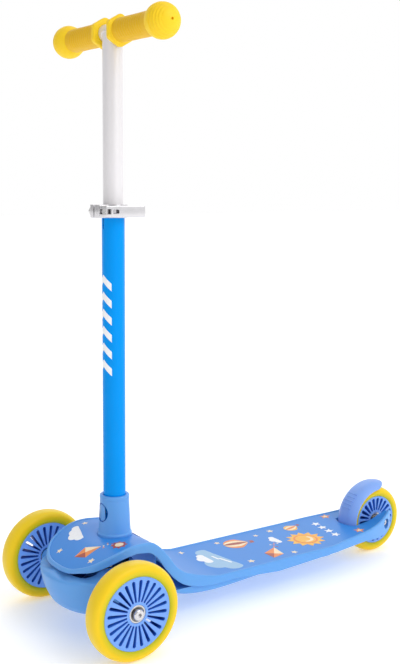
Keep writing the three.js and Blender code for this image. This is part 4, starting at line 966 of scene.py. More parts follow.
def sun(place, size, turn):
    """Rays, a ring, a disc and a crescent of light on it."""
    shapes = (("yellow", star_outline(12, 0.72)), ("orange", circle(0.62, 40)), ("yellow", circle(0.52, 40)),
              ("cream", crescent(0.4)))
    for layer, (color, outline) in enumerate(shapes):
        draw(color, outline, place, size, turn, layer)


def crescent(radius):
    outer = arc_points(radius, 0.25 * math.pi, 1.15 * math.pi, 20)
    return outer + [(0.72 * x + 0.04, 0.72 * y - 0.03) for x, y in outer[::-1]]


def balloon(place, size, turn, colors):
    """A hot air balloon: a striped envelope, lines and a basket."""
    angles = np.linspace(0, TURN, 48, endpoint=False)
    envelope = np.stack((0.72 * np.cos(angles), 0.78 * np.sin(angles) + 0.2), 1)
    envelope[:, 0] *= np.interp(envelope[:, 1], (-0.6, 0), (0.45, 1))
    for layer, (color, reach) in enumerate(zip(colors, (1, 0.66, 0.24))):
        draw(color, envelope * (reach, 1), place, size, turn, layer)
    draw("brown", [(-0.16, -0.98), (0.16, -0.98), (0.2, -0.74), (-0.2, -0.74)], place, size, turn)
    for x in (-0.17, 0.13):
        line = [(x, -0.76), (x + 0.04, -0.76), (x * 1.5 + 0.04, -0.52), (x * 1.5, -0.52)]
        draw("brown", line, place, size, turn)


def kite(place, size, turn, colors):
    """A kite of four fields, with three bows on its tail."""
    corners = [(0, 1), (0.62, 0.25), (0, -0.85), (-0.62, 0.25)]
    for i, color in enumerate(colors):
        draw(color, [corners[i], corners[(i + 1) % 4], (0, 0.25)], place, size, turn)
    for k in range(3):
        y = -1.02 - 0.3 * k
        x = 0.12 * (1 if k % 2 else -1)
        draw(colors[k % 4], [(x - 0.16, y - 0.08), (x, y), (x - 0.16, y + 0.08)], place, size, turn)
        draw(colors[(k + 1) % 4], [(x + 0.16, y - 0.08), (x + 0.16, y + 0.08), (x, y)], place, size, turn)


def sky_prints():
    """Sun, clouds, balloons, kites and stars over the deck and nose."""
    ahead = -math.pi / 2
    star = star_outline(5, 0.45)
    draw("mist", cloud_outline(PUFFS), (46, 10), 46, ahead + 0.15)
    draw("white", stadium(0.5, 0.07), (36, 18), 46, ahead + 0.25, 1)
    draw("white", stadium(0.34, 0.06), (42, 2), 46, ahead + 0.1, 1)
    draw("white", cloud_outline(SMALL_PUFFS), (58, -2), 20, ahead, 1)
    balloon((-20, -26), 24, ahead - 0.2, ("orange", "cream", "brown"))
    kite((-40, 30), 22, ahead + 0.9, ("brown", "orange", "cream", "orange"))
    draw("white", cloud_outline(SMALL_PUFFS), (-72, -8), 16, ahead)
    sun((-112, 14), 29, 0.2)
    balloon((-128, -36), 15, ahead + 0.2, ("yellow", "cream", "orange"))
    for k in range(4):
        draw("white", star, (-158 - 2 * k, 28 - 17 * k), 7.5, 0.3 * k)
    for x, y, size in ((6, -44, 5), (8, 40, 6), (-64, 46, 5.5), (-90, -42, 6), (-60, -38, 4.5), (72, -40, 6)):
        draw("cream", star, (x, y), size, x)
    for side in (1, -1):
        draw("orange", star, (-196, 38 * side), 9, 0.4)
        draw("cream", star, (-196, 38 * side), 5, 0.4, 1)
    draw("white", cloud_outline(PUFFS), (240, -34), 21, ahead - 0.3)
    kite((251, 21), 18, ahead - 0.5, ("orange", "cream", "orange", "brown"))
    draw("brown", star_outline(8, 0.7), (221, 45), 11, 0.2)
    draw("cream", circle(0.5, 24), (221, 45), 11, 0, 1)
    for x, y, size in ((270, -22, 4.5), (260, 43, 5), (218, -50, 4.5)):
        draw("cream", star, (x, y), size, x)


def lay_prints():
    """Makes one thin piece of each colour's prints, which follows the mats."""
    sky_prints()
    for color, outlines in drawn.items():
        shapes = []
        for loop, layer in outlines:
            top = PRINT_STEP * (layer + 1)
            shapes.append(prism("print", [loop], -PRINT_STEP, top, None, 0, 0, mat_surface, 3 * MM))
        piece = merge(*shapes)
        piece.name = f"deck_print_{color}"
        dress(piece, prints[color], body="deck", slot="mat_skin", angle=20)


# Under shell
def under_shell():
    """A shallow tray with rounded lower edges, and sunk seats for its four screws."""
    low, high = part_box("under_shell")
    line = [(high.x - a * (high.x - low.x), b * SHELL_LOW) for a, b in spline(SHELL_SHARES, 40)]
    line += [(x, SHELL_SHARES[-1][1] * SHELL_LOW) for x in np.linspace(line[-1][0], low.x, 30)[1:]]
    half = half_width("under_shell")
    rows = []
    for x, z in line:
        room = min(SHELL_EDGE, (high.z - z) * 0.9)
        arc = [(half - room * (1 - math.cos(a)), z + room * (1 - math.sin(a)))
               for a in np.linspace(0, math.pi / 2, 7)]
        side = [(half, high.z), *arc, *[(y, z) for y in np.linspace(half - room, 0, 6)[1:]]]
        rows.append([(x, y, h) for y, h in side] + [(x, -y, h) for y, h in side[-2::-1]])
    piece = skin("under_shell_moulded", rows)
    cutters = []
    for k in range(1, 5):
        node = f"under_shell_screw_{k}"
        centre = middle(node)
        radius, top = 3.4 * MM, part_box(node)[0].z + 2.6 * MM
        sink = rounded([(0, -0.02, 0), (radius, -0.02, 0), (radius, top, 0.6 * MM), (0, top, 0)], 4)
        cutters.append(lathe("sink", sink, along(UP, (centre.x, centre.y, 0)), 48))
    carve(piece, *cutters)
    dress(piece, body_plastic, "under_shell")


# Front truck
BOWL_STEPS = 144
BOWL_MIDDLE_X = FRONT_AXLE_X - 20 * MM
BOWL_HALF_WIDTH = 80.5 * MM
BOWL_FRONT = 76 * MM
BOWL_REAR = 32 * MM
BOWL_TOP = 86 * MM
BOWL_BOTTOM = 25 * MM
BOWL_WALL_SHARES = [(0, 0.4), (0.02, 0.5), (0.082, 0.645), (0.213, 0.79), (0.377, 0.866), (0.607, 0.94),
                    (1, 1)]
BOWL_LIP = 3.5 * MM
BOWL_GAP = 5 * MM
BOWL_CLEARANCE = 1.6 * MM
LEAN_SWING = 0.13
BOWL_OPENING = (41 * MM, 49 * MM)
BOWL_OPENING_X = FRONT_AXLE_X - 6 * MM
BRACKET_ROOM = (FRONT_AXLE_X + 30 * MM, 54 * MM)
BRACKET_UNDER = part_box("steering_bracket")[1].z - 5.4 * MM


def bowl_form(ahead):
    """The power and reach of the bowl's oval, ahead of its middle or behind it."""
    return (2.0, BOWL_FRONT) if ahead else (3.0, BOWL_REAR)


def oval(turn, size):
    c, s = math.cos(turn), math.sin(turn)
    power, reach = bowl_form(c > 0)
    return (BOWL_MIDDLE_X + math.copysign(abs(c) ** (2 / power), c) * reach * size,
            math.copysign(abs(s) ** (2 / power), s) * BOWL_HALF_WIDTH * size)


def bowl_roof(x, y):
    """Height of the bowl's top, which falls to its rim and rises under the nose as far as leaning allows."""
    side = BOWL_TOP - max(abs(y) - 18 * MM, 0) * math.tan(math.radians(9))
    under_nose = band_at(max(x, CREST_X)) - BOWL_GAP
    soft = 4 * MM
    mixed_share = max(soft - abs(side - under_nose), 0) / soft
    low = min(side, under_nose) - mixed_share * mixed_share * soft / 4
    swing = LEAN_SWING * abs(y)
    high, collar = (min(line(x - swing), line(x + swing)) - swing - BOWL_CLEARANCE
                    for line in (band_at, under_at))
    power, reach = bowl_form(x > BOWL_MIDDLE_X)
    size = (abs((x - BOWL_MIDDLE_X) / reach) ** power + abs(y / BOWL_HALF_WIDTH) ** power) ** (1 / power)
    share = np.clip((0.97 - size) / 0.19, 0, 1)
    inner = np.clip((0.76 - size) / 0.12, 0, 1)
    roof = low + max(high - low, 0) * (1 - (1 - share) ** 2) + max(collar - high, 0) * eased(inner)
    beside = max(abs(y) - BRACKET_ROOM[1], 0) + max(x - BRACKET_ROOM[0], 0)
    return min(roof, BRACKET_UNDER - swing - BOWL_CLEARANCE / 2 + 1.5 * beside)


def bowl_size(z):
    heights = (z - BOWL_BOTTOM) / (BOWL_TOP - BOWL_BOTTOM)
    curve = spline(BOWL_WALL_SHARES, 60)
    return np.interp(heights, curve[:, 0], curve[:, 1])


def truck_bowl():
    """The bowl below the nose: a rounded wall, a soft shoulder and a roof with an opening for the bracket."""
    columns = []
    for turn in np.arange(BOWL_STEPS) * TURN / BOWL_STEPS:
        rim = BOWL_TOP
        for _ in range(8):
            rim = bowl_roof(*oval(turn, bowl_size(rim)))
        foot = bowl_size(BOWL_BOTTOM)
        column = [(*oval(turn, foot * share), BOWL_BOTTOM) for share in np.linspace(0, 0.96, 6)]
        for share in np.linspace(0, 1, 26):
            z = BOWL_BOTTOM + share**1.6 * (rim - BOWL_LIP - BOWL_BOTTOM)
            column.append((*oval(turn, bowl_size(z)), z))
        edge = np.array(oval(turn, bowl_size(rim - BOWL_LIP)))
        ways = np.array((math.cos(turn), math.sin(turn)))
        hole = (BOWL_OPENING_X, 0) + BOWL_OPENING * np.copysign(np.abs(ways) ** 0.5, ways)
        way = (hole - edge) / np.linalg.norm(hole - edge)
        for angle in np.linspace(0, math.pi / 2, 7)[1:]:
            x, y = edge + way * BOWL_LIP * (1 - math.cos(angle))
            lift = bowl_roof(x, y) - rim
            column.append((x, y, rim - BOWL_LIP * (1 - math.sin(angle)) + lift * (1 - math.cos(angle))))
        start = edge + way * BOWL_LIP
        for share in np.linspace(0, 1, 13)[1:]:
            x, y = start + (hole - start) * share
            column.append((x, y, bowl_roof(x, y)))
        columns.append(column)
    piece = skin("truck_bowl", columns, ring=True)
    wall = piece.modifiers.new("wall", "SOLIDIFY")
    wall.thickness = 3 * MM
    wall.offset = -1
    bake(piece)
    tidy(piece)
    dress(piece, body_plastic, "truck_housing", angle=50)


def truck_inside():
    """The arms that carry the wheels, the kingpin's barrel and the springs' pads."""
    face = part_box("front_left_hub")[0].y - 1.3 * MM
    stub = 6.2 * MM
    arm_profile = rounded([
        (0, 55 * MM, 0), (17 * MM, 55 * MM, 0), (15.5 * MM, 76 * MM, 6 * MM), (11 * MM, 86 * MM, 10 * MM),
        (11 * MM, face, 1.2 * MM), (stub, face + 0.4 * MM, 0), (stub, face + 1.2 * MM, 0.3 * MM),
        (0, face + 1.2 * MM, 0),
    ], 8)
    seat, peg = 8 * MM, 4.4 * MM
    pad_profile = rounded([
        (0, 30 * MM, 0), (seat, 30 * MM, 0), (seat, 74 * MM, 0.6 * MM), (peg, 74 * MM, 0.3 * MM),
        (peg, 79 * MM, 1 * MM), (0, 79 * MM, 0),
    ], 4)
    barrel = along((1, 0, 1), (FRONT_AXLE_X - 8 * MM, 0, 60 * MM))
    axle = (FRONT_AXLE_X, 0, FRONT_AXLE.z)
    pieces = [lathe(f"truck_arm_{label}", arm_profile, along((0, side, 0), axle), 72)
              for side, label in ((1, "left"), (-1, "right"))]
    pieces.append(rod("truck_barrel", 13 * MM, -17 * MM, 17 * MM, barrel, 64, 1 * MM, 8 * MM, 0.6 * MM))
    for label in ("left", "right"):
        x, y = middle(f"steering_spring_{label}").xy
        pieces.append(lathe(f"truck_spring_pad_{label}", pad_profile, along(UP, (x, y, 0)), 48))
    for piece in pieces:
        dress(piece, body_plastic, body="truck", slot="body_plastic")


def coil_line(radius, length, turns):
    """Points of a coil along local Z, with its end turns lying flat."""
    found = []
    for turn in np.arange(turns * 24 + 1) / 24:
        rise = np.interp(turn, (0, 1, turns - 1, turns), (0, 0.06, 0.94, 1))
        found.append((radius * math.cos(TURN * turn), radius * math.sin(TURN * turn), rise * length))
    return found


def stretched_coil(node, name, line, wire):
    """A wound steel spring in place of its node."""
    piece = shade(tube_along(name, line, wire))
    piece.data.materials.append(steel)
    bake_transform(piece)
    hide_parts(node)


def springs():
    wire = 1.1 * MM
    for node in ("steering_spring_left", "steering_spring_right"):
        low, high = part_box(node)
        x, y = middle(node).xy
        line = coil_line((high.x - low.x) / 2 - wire, high.z - low.z - 2 * wire, 6)
        line = moved(line, Matrix.Translation((x, y, low.z + wire)))
        stretched_coil(node, f"{node}_coil", line, wire)
    low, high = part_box("snap_pin_spring")
    y, z = middle("snap_pin_spring").yz
    wire = 0.6 * MM
    line = coil_line(half_height("snap_pin_spring") - wire, high.x - low.x - 2 * wire, 9)
    line = moved(line, along((1, 0, 0), (low.x + wire, y, z)))
    stretched_coil("snap_pin_spring", "snap_pin_coil", line, wire)
    wire = 0.7 * MM
    radius = 3.7 * MM
    half = half_width("fender_spring") - wire
    pin = FENDER_PIN
    line = moved(coil_line(radius, 2 * half, 8), along(ACROSS, (pin.x, -half, pin.z)))
    reach = FENDER_INNER - 1.6 * MM
    leg = [Vector((ARCH_X + reach * math.cos(a), half, ARCH_Z + reach * math.sin(a)))
           for a in np.linspace(-0.12, 0.16, 8)]
    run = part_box("fender_spring")[1].x - pin.x - 5 * MM
    foot = [Vector((line[0].x + run * share, -half, pin.z - radius)) for share in (1, 0.5)]
    dress(tube_along("fender_coil", [*foot, *line, *leg], wire), steel, "fender_spring")


# Neck, column, grips and clamp
COLUMN_LINE = along(UP, (COLUMN_X, 0, 0))
POCKET_FLOOR = 15 * MM
BUTTON_BACK = 17.7 * MM
BUTTON_FIT = 0.4 * MM
LOWER_TUBE_RADIUS = 14.4 * MM
GRIP_STEPS = 144
GRIP_BORE = 11.2 * MM
GRIP_RADIUS = 15 * MM
FLANGE_RADIUS = 17.75 * MM
# The grooves of a grip's ball end: angles from its tip and half a width in degrees, and depth as a share
GROOVE_ANGLES = (37, 47.5, 58, 69, 80.5)
GROOVE_WIDTH = 2.3
GROOVE_DEPTH = 0.045


def neck_socket():
    """The socket on the nose, its oval pocket, and the release button, whose face follows the socket."""
    low, high = NECK_LOW, NECK_HIGH
    bore = 14.7 * MM
    flange = half_width("neck_socket")
    profile = rounded([
        (bore, low.z, 0.3 * MM), (flange, low.z, 0.3 * MM), (flange, 115.8 * MM, 0.7 * MM),
        (20.9 * MM, 117.6 * MM, 3 * MM), (20.35 * MM, 124 * MM, 6 * MM), (18.75 * MM, 161 * MM, 0.6 * MM),
        (19.1 * MM, 161.8 * MM, 0.5 * MM), (19.05 * MM, high.z, 1.7 * MM), (bore, high.z, 1.1 * MM),
    ], 6)
    piece = lathe("neck_moulded", profile, COLUMN_LINE, 128)
    height = middle("release_button").z
    long, wide = 2 * half_height("release_button"), 2 * half_width("release_button")
    front = front_plane(COLUMN_X, height)
    upright = math.pi / 2
    pocket_half = long / 2 + 1 * MM
    pocket = circle(1, 48) * (wide / 2 + 3.5 * MM, pocket_half)
    through = stadium(long + BUTTON_FIT, wide + BUTTON_FIT, upright)
    carve(piece, prism("pocket", [pocket], POCKET_FLOOR, 26 * MM, front),
          prism("through", [through], 8 * MM, POCKET_FLOOR + 1 * MM, front))
    dress(piece, body_plastic, "neck_socket")
    # The pocket's floor and walls get the painted shade.
    paint(piece, recess_painted_shade, lambda p: math.hypot(p.x - COLUMN_X, p.y) < 18.7 * MM
          and p.x > COLUMN_X + POCKET_FLOOR - 0.2 * MM and abs(p.z - height) < pocket_half)
    slope = [(0, 0.12), (19.25 * MM, 0.12), (18.75 * MM, 0.17), (0, 0.17)]
    face = lathe("button_face", slope, COLUMN_LINE, 128)
    button = prism("release_button_moulded", [stadium(long, wide, upright)], BUTTON_BACK, 24 * MM, front)
    carve(button, face, operation="INTERSECT")
    soften(button, 0.5 * MM, 3, 50)
    bake(button)
    tidy(button)
    dress(button, body_plastic, "release_button")


def tubes():
    """The two tubes of the column and the crossbar, with the weld that joins them."""
    edge = 0.3 * MM
    low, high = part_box("lower_tube")
    outer, inner = LOWER_TUBE_RADIUS, 12.9 * MM
    piece = rod("lower_tube_drawn", outer, low.z, high.z, COLUMN_LINE, 128, edge, inner, edge, 3)
    slot = stadium(60 * MM, 3 * MM, math.pi / 2, 30 * MM)
    carve(piece, prism("slot", [slot], 5 * MM, 20 * MM, front_plane(COLUMN_X, high.z - 28 * MM)))
    dress(piece, azure_paint, "lower_tube")
    foot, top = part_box("upper_tube")[0].z, CROSSBAR.z - 1 * MM
    outer, inner = 12.6 * MM, 11.1 * MM
    profile = rounded([(inner, foot, edge), (outer, foot, edge), (outer, top, 1 * MM), (inner, top, 0)], 3)
    dress(lathe("upper_tube_drawn", profile, COLUMN_LINE, 128), silver_coat, "upper_tube")
    low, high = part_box("crossbar")
    bar = half_height("crossbar")
    line = along(ACROSS, (CROSSBAR.x, 0, CROSSBAR.z))
    piece = rod("crossbar_drawn", bar, low.y, high.y, line, 96, edge, 9.6 * MM, edge, 3)
    dress(piece, silver_coat, "crossbar")
    weld = []
    for angle in np.arange(97) * TURN / 96:
        x, y = outer * math.cos(angle), outer * math.sin(angle)
        drop = math.sqrt(max(bar * bar - min(abs(x), bar) ** 2, 0))
        weld.append((CROSSBAR.x + x, y, CROSSBAR.z - drop - 0.2 * MM))
    dress(tube_along("handlebar_weld", weld, 1.3 * MM, 10), silver_coat, body="handlebar", slot="silver_tube")


def tube_marks():
    """White chevrons round the front of the lower tube."""
    outer, inner = LOWER_TUBE_RADIUS + PRINT_STEP, LOWER_TUBE_RADIUS + PRINT_STEP - 0.4 * MM
    shapes = []
    for k in range(6):
        rows = []
        for angle in np.linspace(-50, 50, 41):
            a = math.radians(angle)
            low = (322 + 21.5 * k) * MM + (1 - abs(angle) / 50) * 11 * MM
            high = low + 9.5 * MM
            ring = [(outer, low), (outer, high), (inner, high), (inner, low)]
            rows.append([(COLUMN_X + r * math.cos(a), r * math.sin(a), z) for r, z in ring])
        shapes.append(skin("mark", rows))
    piece = merge(*shapes)
    piece.name = "lower_tube_marks"
    dress(piece, prints["white"], body=BODY_OF["lower_tube"], slot=SLOT_OF["lower_tube"], angle=20)


def grip(label, side):
    """A rubber grip: a soft six sided flange, a ribbed palm painted darker as shade, and a ball end with five
    grooves.
    """
    node = f"grip_{label}"
    low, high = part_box(node)
    start, tip = (low.y, high.y) if side > 0 else (-high.y, -low.y)
    ball = half_height(node)
    ball_y = tip - ball
    flange_end = start + 7 * MM
    neck_angle = math.asin(GRIP_RADIUS / ball)
    join = ball_y - ball * math.cos(neck_angle)
    stops = [np.linspace(start, start + 1.5 * MM, 5), np.linspace(start + 2 * MM, flange_end - 1 * MM, 6),
             np.linspace(flange_end - 0.8 * MM, flange_end + 1.6 * MM, 7),
             np.linspace(flange_end + 2.5 * MM, join - 2 * MM, 90)]
    turns = np.arange(GRIP_STEPS) * TURN / GRIP_STEPS
    rings = [(start + 6 * MM, [GRIP_BORE] * GRIP_STEPS), (start, [GRIP_BORE] * GRIP_STEPS)]
    for y in np.concatenate(stops):
        rings.append((y, [grip_radius(y, turn, start, flange_end, join) for turn in turns]))
    for angle in np.linspace(neck_angle * 0.97, math.pi - math.asin(1.8 * MM / ball), 110):
        outward = math.degrees(math.pi - angle)
        groove = sum(math.exp(-(((outward - place) / GROOVE_WIDTH) ** 2)) for place in GROOVE_ANGLES)
        radius = ball * math.sin(angle) * (1 - GROOVE_DEPTH * groove)
        rings.append((ball_y - ball * math.cos(angle), [radius] * GRIP_STEPS))
    for depth, radius in ((1.2 * MM, 1.5 * MM), (4 * MM, 1.5 * MM), (4 * MM, 0)):
        rings.append((tip - depth, [radius] * GRIP_STEPS))
    rows = [[(CROSSBAR.x + radius * math.cos(turn), side * y, CROSSBAR.z + radius * math.sin(turn))
             for radius, turn in zip(radii, turns)] for y, radii in rings]
    piece = skin(f"{node}_rubber", rows)
    dress(piece, grip_rubber, node, angle=40)
    # The palm gets the painted shade.
    paint(piece, palm_painted_shade, lambda p: flange_end + 2 * MM < side * p.y < join - 1 * MM)


def grip_radius(y, turn, start, flange_end, join):
    """Radius of the grip before its ball, at a place along it and a turn round it."""
    if y < flange_end + 1.7 * MM:
        slice_turn = (turn + math.pi / 6) % (math.pi / 3) - math.pi / 6
        six = min(FLANGE_RADIUS / math.cos(slice_turn), FLANGE_RADIUS * 1.1)
        rise = min(y - start, 1.5 * MM)
        outer = six - 1.6 * MM * (1 - math.sqrt(max(1 - (1 - rise / (1.5 * MM)) ** 2, 0)))
        fall = np.clip((y - flange_end + 0.8 * MM) / (2.4 * MM), 0, 1)
        return outer + (GRIP_RADIUS - outer) * eased(fall)
    waist = GRIP_RADIUS - 0.5 * MM * math.sin(math.pi * np.clip((y - flange_end) / (join - flange_end), 0, 1))
    panel_start, panel_end = flange_end + 9 * MM, join - 9 * MM
    if panel_start < y < panel_end:
        share = (y - panel_start) / (panel_end - panel_start)
        ends = min(share, 1 - share, 0.06) / 0.06
        side_turn = abs((turn % math.pi) - math.pi / 2)
        on_face = np.clip((side_turn - math.radians(38)) / math.radians(6), 0, 1)
        wave = math.sin(TURN * (share * 11 + 0.35 * math.sin(2 * turn)))
        waist += 0.55 * MM * ends * on_face * np.clip(wave * 2.2, -0.2, 1)
        fluted = np.clip((math.radians(36) - side_turn) / math.radians(6), 0, 1)
        waist += 0.3 * MM * ends * fluted * (0.5 + 0.5 * math.cos(36 * turn))
    return waist


def clamp():
    """The quick release clamp at the top of the lower tube: collar, bolt, nut, pivot and lever."""
    low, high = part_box("clamp_collar")
    outer, bore, mouth = 18.1 * MM, 14.6 * MM, 12.8 * MM
    reach, ear, slit = high.x - COLUMN_X, 11 * MM, 1.3 * MM
    start = math.asin(ear / outer)
    corner = rounded([(outer * math.cos(start) - 3 * MM, ear, 0), (reach, ear, 3.5 * MM),
                      (reach, slit, 1 * MM), (mouth, slit, 0)], 6)[1:-1]
    half_outer = arc_points(outer, math.pi, start + 0.06, 60)
    half_inner = arc_points(mouth, math.asin(slit / mouth), math.pi, 60)
    loop = np.array([*half_outer, *corner, *half_inner[:-1]])
    whole = np.concatenate((loop, [(-mouth, 0)], [(x, -y) for x, y in loop[:0:-1]]))
    piece = prism("clamp_collar_cast", [whole], low.z, high.z, Matrix.Translation((COLUMN_X, 0, 0)), 0.7 * MM)
    bolt_x = middle("clamp_bolt").x
    height = (low.z + high.z) / 2
    bolt_line = along(ACROSS, (bolt_x, 0, height))
    room = rod("room", bore, 0.4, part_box("lower_tube")[1].z + FIT, COLUMN_LINE, 128)
    carve(piece, room, rod("hole", 2.8 * MM, -FAR / 2, FAR / 2, bolt_line), solver="EXACT")
    dress(piece, bright_steel, "clamp_collar")
    low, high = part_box("clamp_bolt")
    dress(rod("clamp_bolt_turned", 2.5 * MM, low.y, high.y, bolt_line, 48, 0.5 * MM), steel, "clamp_bolt")
    hex_nut("clamp_nut", 9 * MM, 2.8 * MM)
    low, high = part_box("clamp_barrel")
    centre = middle("clamp_barrel")
    upright = along(UP, (centre.x, centre.y, 0))
    dress(rod("clamp_barrel_turned", 4 * MM, low.z, high.z, upright, 48, 0.6 * MM), steel, "clamp_barrel")
    lever(centre, height)


def lever(pivot, height):
    """The clamp's lever: a round lobe on the barrel, a curved handle and a window beside the lobe."""
    lobe, half, long, thick, flare = 7 * MM, 7 * MM, 49 * MM, 5 * MM, 9 * MM
    bend = -long * 0.62
    outer = spline([(0, lobe), (bend / 2, lobe + thick / 8), (bend, lobe + thick / 4),
                    (-long, lobe + flare / 2)], 24)
    inner = np.array([(x, y - thick * (1 + 0.25 * x / long)) for x, y in outer])
    joined = [p for p in inner if p[0] < -math.sqrt(max(lobe**2 - p[1] ** 2, 0))]
    round_end = arc_points(lobe, math.pi / 2, -math.pi * 0.9, 40)
    centre = (outer[-1] + inner[-1]) / 2
    radius = abs(outer[-1][1] - inner[-1][1]) / 2
    cap = [centre - (radius * math.sin(a), radius * math.cos(a)) for a in np.linspace(0, math.pi, 9)]
    loop = np.array([*round_end[1:], *joined[:-1], *cap, *outer[-2::-1]])
    matrix = Matrix.Translation((pivot.x, pivot.y, height))
    piece = prism("clamp_lever_cast", [loop], -half, half, matrix, 0.8 * MM)
    hole = rod("hole", 4.2 * MM, -0.02, 0.02, matrix)
    past, back, gap = lobe + 2 * MM, -4.3 * MM, 3.2 * MM
    slot = prism("slot", [[(back, past), (back, -past), (past, -past), (past, past)]], -gap, gap, matrix)
    rear, front, side, corner = -15.25 * MM, -6.75 * MM, 2.5 * MM, 0.8 * MM
    window = rounded([(rear, -side, corner), (front, -side, corner), (front, side, corner),
                      (rear, side, corner)])
    opening = prism("window", [window], -5 * MM, 25 * MM, side_plane((pivot.x, pivot.y, height)))
    carve(piece, hole, slot, opening)
    dress(piece, bright_steel, "clamp_lever")


# Brake fender
def fender():
    """An arched skin with a round tip, short foot ribs and a hinge barrel at its foot."""
    half, thick = FENDER_HALF, FENDER_THICKNESS
    begin = -math.atan2(ARCH_Z - FENDER_PIN.z, FENDER_PIN.x - ARCH_X)
    inner_half = half - thick / 2
    centre_radius = FENDER_INNER + thick / 2
    tip = 0.8 + 0.2 * np.sin(np.linspace(0, math.pi / 2, 26)[1:])
    rows = []
    for share in np.concatenate((np.linspace(0, 0.8, 50), tip)):
        turn = begin + share * (FENDER_END - begin)
        late = max((share - 0.8) / 0.2, 0)
        width = math.sqrt(max(1 - late**2.4, 0)) * inner_half
        line = np.array([(t * width, centre_radius - FENDER_SIDE_DROP * abs(t * width / inner_half) ** 3)
                         for t in np.linspace(-1, 1, 25)])
        runs = np.gradient(line, axis=0)
        runs[:, 0] = np.maximum(runs[:, 0], 1e-7)
        normals = np.stack((-runs[:, 1], runs[:, 0]), 1)
        normals /= np.linalg.norm(normals, axis=1)[:, None]
        caps = []
        for i, sign in ((-1, 1), (0, -1)):
            n, t = normals[i] * sign, np.array((normals[i][1], -normals[i][0])) * sign
            caps.append([line[i] + thick / 2 * (n * math.cos(a) + t * math.sin(a))
                         for a in np.linspace(0, math.pi, 9)[1:-1]])
        swell = normals * thick / 2
        loop = [*(line + swell), *caps[0], *(line - swell)[::-1], *caps[1]]
        rows.append([(ARCH_X + r * math.cos(turn), y, ARCH_Z + r * math.sin(turn)) for y, r in loop])
    piece = skin("fender_moulded", rows)
    lay = front_plane(FENDER_INNER + thick - 1.6 * MM)
    ribs = []
    for angle in (24, 30, 36, 42, 48):
        place = Matrix.Translation((ARCH_X, 0, ARCH_Z)) @ Matrix.Rotation(-math.radians(angle), 4, "Y")
        ribs.append(prism("rib", [stadium(18 * MM, 1.8 * MM)], 0, 2.1 * MM, place @ lay, 0.4 * MM))
    for side in (1, -1):
        barrel = along((0, side, 0), FENDER_PIN)
        ribs.append(rod("barrel", 4.6 * MM, 7.9 * MM, half, barrel, 48, 0.4 * MM, 2.3 * MM, 0, 3))
    carve(piece, *ribs, operation="UNION")
    dress(piece, fender_plastic, "brake_fender", angle=40)
    low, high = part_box("fender_pin")
    pin_line = along(ACROSS, (FENDER_PIN.x, 0, FENDER_PIN.z))
    dress(rod("fender_pin_turned", 2 * MM, low.y, high.y, pin_line, 32, 0.4 * MM), steel, "fender_pin")


# Nodes whose own shape stays
def keep(material, *nodes, width=0.4 * MM):
    """Gives CAD nodes their finish and softly rounded edges."""
    for node in nodes:
        piece = frame["nodes"][node]
        piece.data.materials.clear()
        piece.data.materials.append(material)
        if width:
            soften(piece, width)


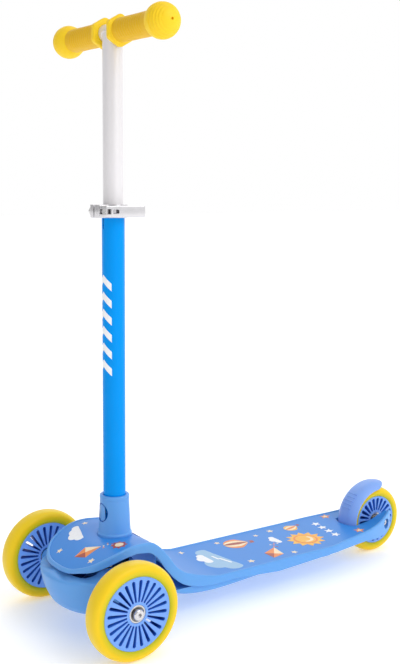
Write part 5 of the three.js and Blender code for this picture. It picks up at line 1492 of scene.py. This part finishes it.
# Stage
def stage_and_light():
    """A white floor, a white surround that dims towards +X, and three soft lamps."""
    bpy.ops.mesh.primitive_plane_add(size=30, location=(0, 0, 0))
    floor = bpy.context.object
    floor.name = "studio_floor"
    pale = bpy.data.materials.new("studio_floor")
    pale.use_nodes = True
    feed(pale.node_tree, pale.node_tree.nodes["Principled BSDF"], {
        "Base Color": (0.97, 0.97, 0.97, 1), "Roughness": 0.7, "Emission Color": (1, 1, 1, 1),
        "Emission Strength": 0.25,
    })
    floor.data.materials.append(pale)
    scene = bpy.context.scene
    world = bpy.data.worlds.new("studio")
    scene.world = world
    world.use_nodes = True
    tree = world.node_tree
    way = add_node(tree, "TexCoord", {}).outputs["Generated"]
    ahead = add_node(tree, "SeparateXYZ", {0: way}).outputs["X"]
    dim = add_node(tree, "MapRange", {"Value": ahead, "From Min": -0.15, "From Max": 0.6, "To Min": 1.0,
                                      "To Max": 0.55})
    dim.interpolation_type = "SMOOTHSTEP"
    feed(tree, tree.nodes["Background"], {"Color": (1, 1, 1, 1), "Strength": dim.outputs["Result"]})
    target = Vector((0.02, 0, 0.25))
    for name, place, size, power in (("key", (-0.6, 2.4, 2.2), 1.8, 24), ("fill", (2.6, 0.9, 1.4), 1.6, 1.5),
                                     ("back", (-1.2, -2.2, 2.0), 1.6, 6)):
        light = bpy.data.lights.new(name, "AREA")
        light.size = size
        light.energy = power
        lamp = bpy.data.objects.new(name, light)
        lamp.location = place
        lamp.rotation_mode = "QUATERNION"
        lamp.rotation_quaternion = (target - Vector(place)).to_track_quat("-Z", "Y")
        scene.collection.objects.link(lamp)
    scene.view_settings.view_transform = "Standard"


def photo_camera():
    """The camera of the photograph: its place, turn, focal length and the shift of its middle."""
    data = bpy.data.cameras.new("photo_camera")
    camera = bpy.data.objects.new("photo_camera", data)
    bpy.context.scene.collection.objects.link(camera)
    bpy.context.scene.camera = camera
    long_side = max(PHOTO_WIDTH, PHOTO_HEIGHT)
    data.sensor_width = SENSOR_SIZE
    data.lens = CAMERA_FOCAL_PIXELS / long_side * SENSOR_SIZE
    data.shift_x = (PHOTO_WIDTH / 2 - PHOTO_CENTRE_X) / long_side
    data.shift_y = (PHOTO_CENTRE_Y - PHOTO_HEIGHT / 2) / long_side
    data.clip_start = 0.05
    camera.location = CAMERA_PLACE
    camera.rotation_mode = "QUATERNION"
    look = CAMERA_FORWARD.to_track_quat("-Z", "Y")
    camera.rotation_quaternion = look @ Matrix.Rotation(CAMERA_ROLL, 3, "Z").to_quaternion()


photo_camera()
stage_and_light()

for wheel, material in (("front_left", front_tyre), ("front_right", front_tyre), ("rear", rear_tyre)):
    tyre(wheel, material)
    hub(wheel)
    bearing(f"{wheel}_bearing_outer")
    bearing(f"{wheel}_bearing_inner")
    keep(steel, f"{wheel}_bearing_sleeve", width=0)
axle_bolt("front_axle_bolt_left", 1)
axle_bolt("front_axle_bolt_right", -1)
axle_bolt("rear_axle_bolt", 1)
for nut in ("front_axle_nut_left", "front_axle_nut_right", "rear_axle_nut"):
    hex_nut(nut, 13 * MM, 4.1 * MM)

deck_cover()
mats()
lay_prints()
under_shell()
truck_bowl()
truck_inside()
springs()
neck_socket()
tubes()
tube_marks()
grip("left", 1)
grip("right", -1)
clamp()
fender()

keep(steel, "snap_pin", "kingpin", "kingpin_nut", "rear_axle_spacer_left", "rear_axle_spacer_right")
for k in range(1, 5):
    keep(steel, f"under_shell_screw_{k}", f"neck_screw_{k}", width=0.2 * MM)
keep(dark_plastic, "steering_bracket", "kingpin_bush_upper", "kingpin_bush_lower")
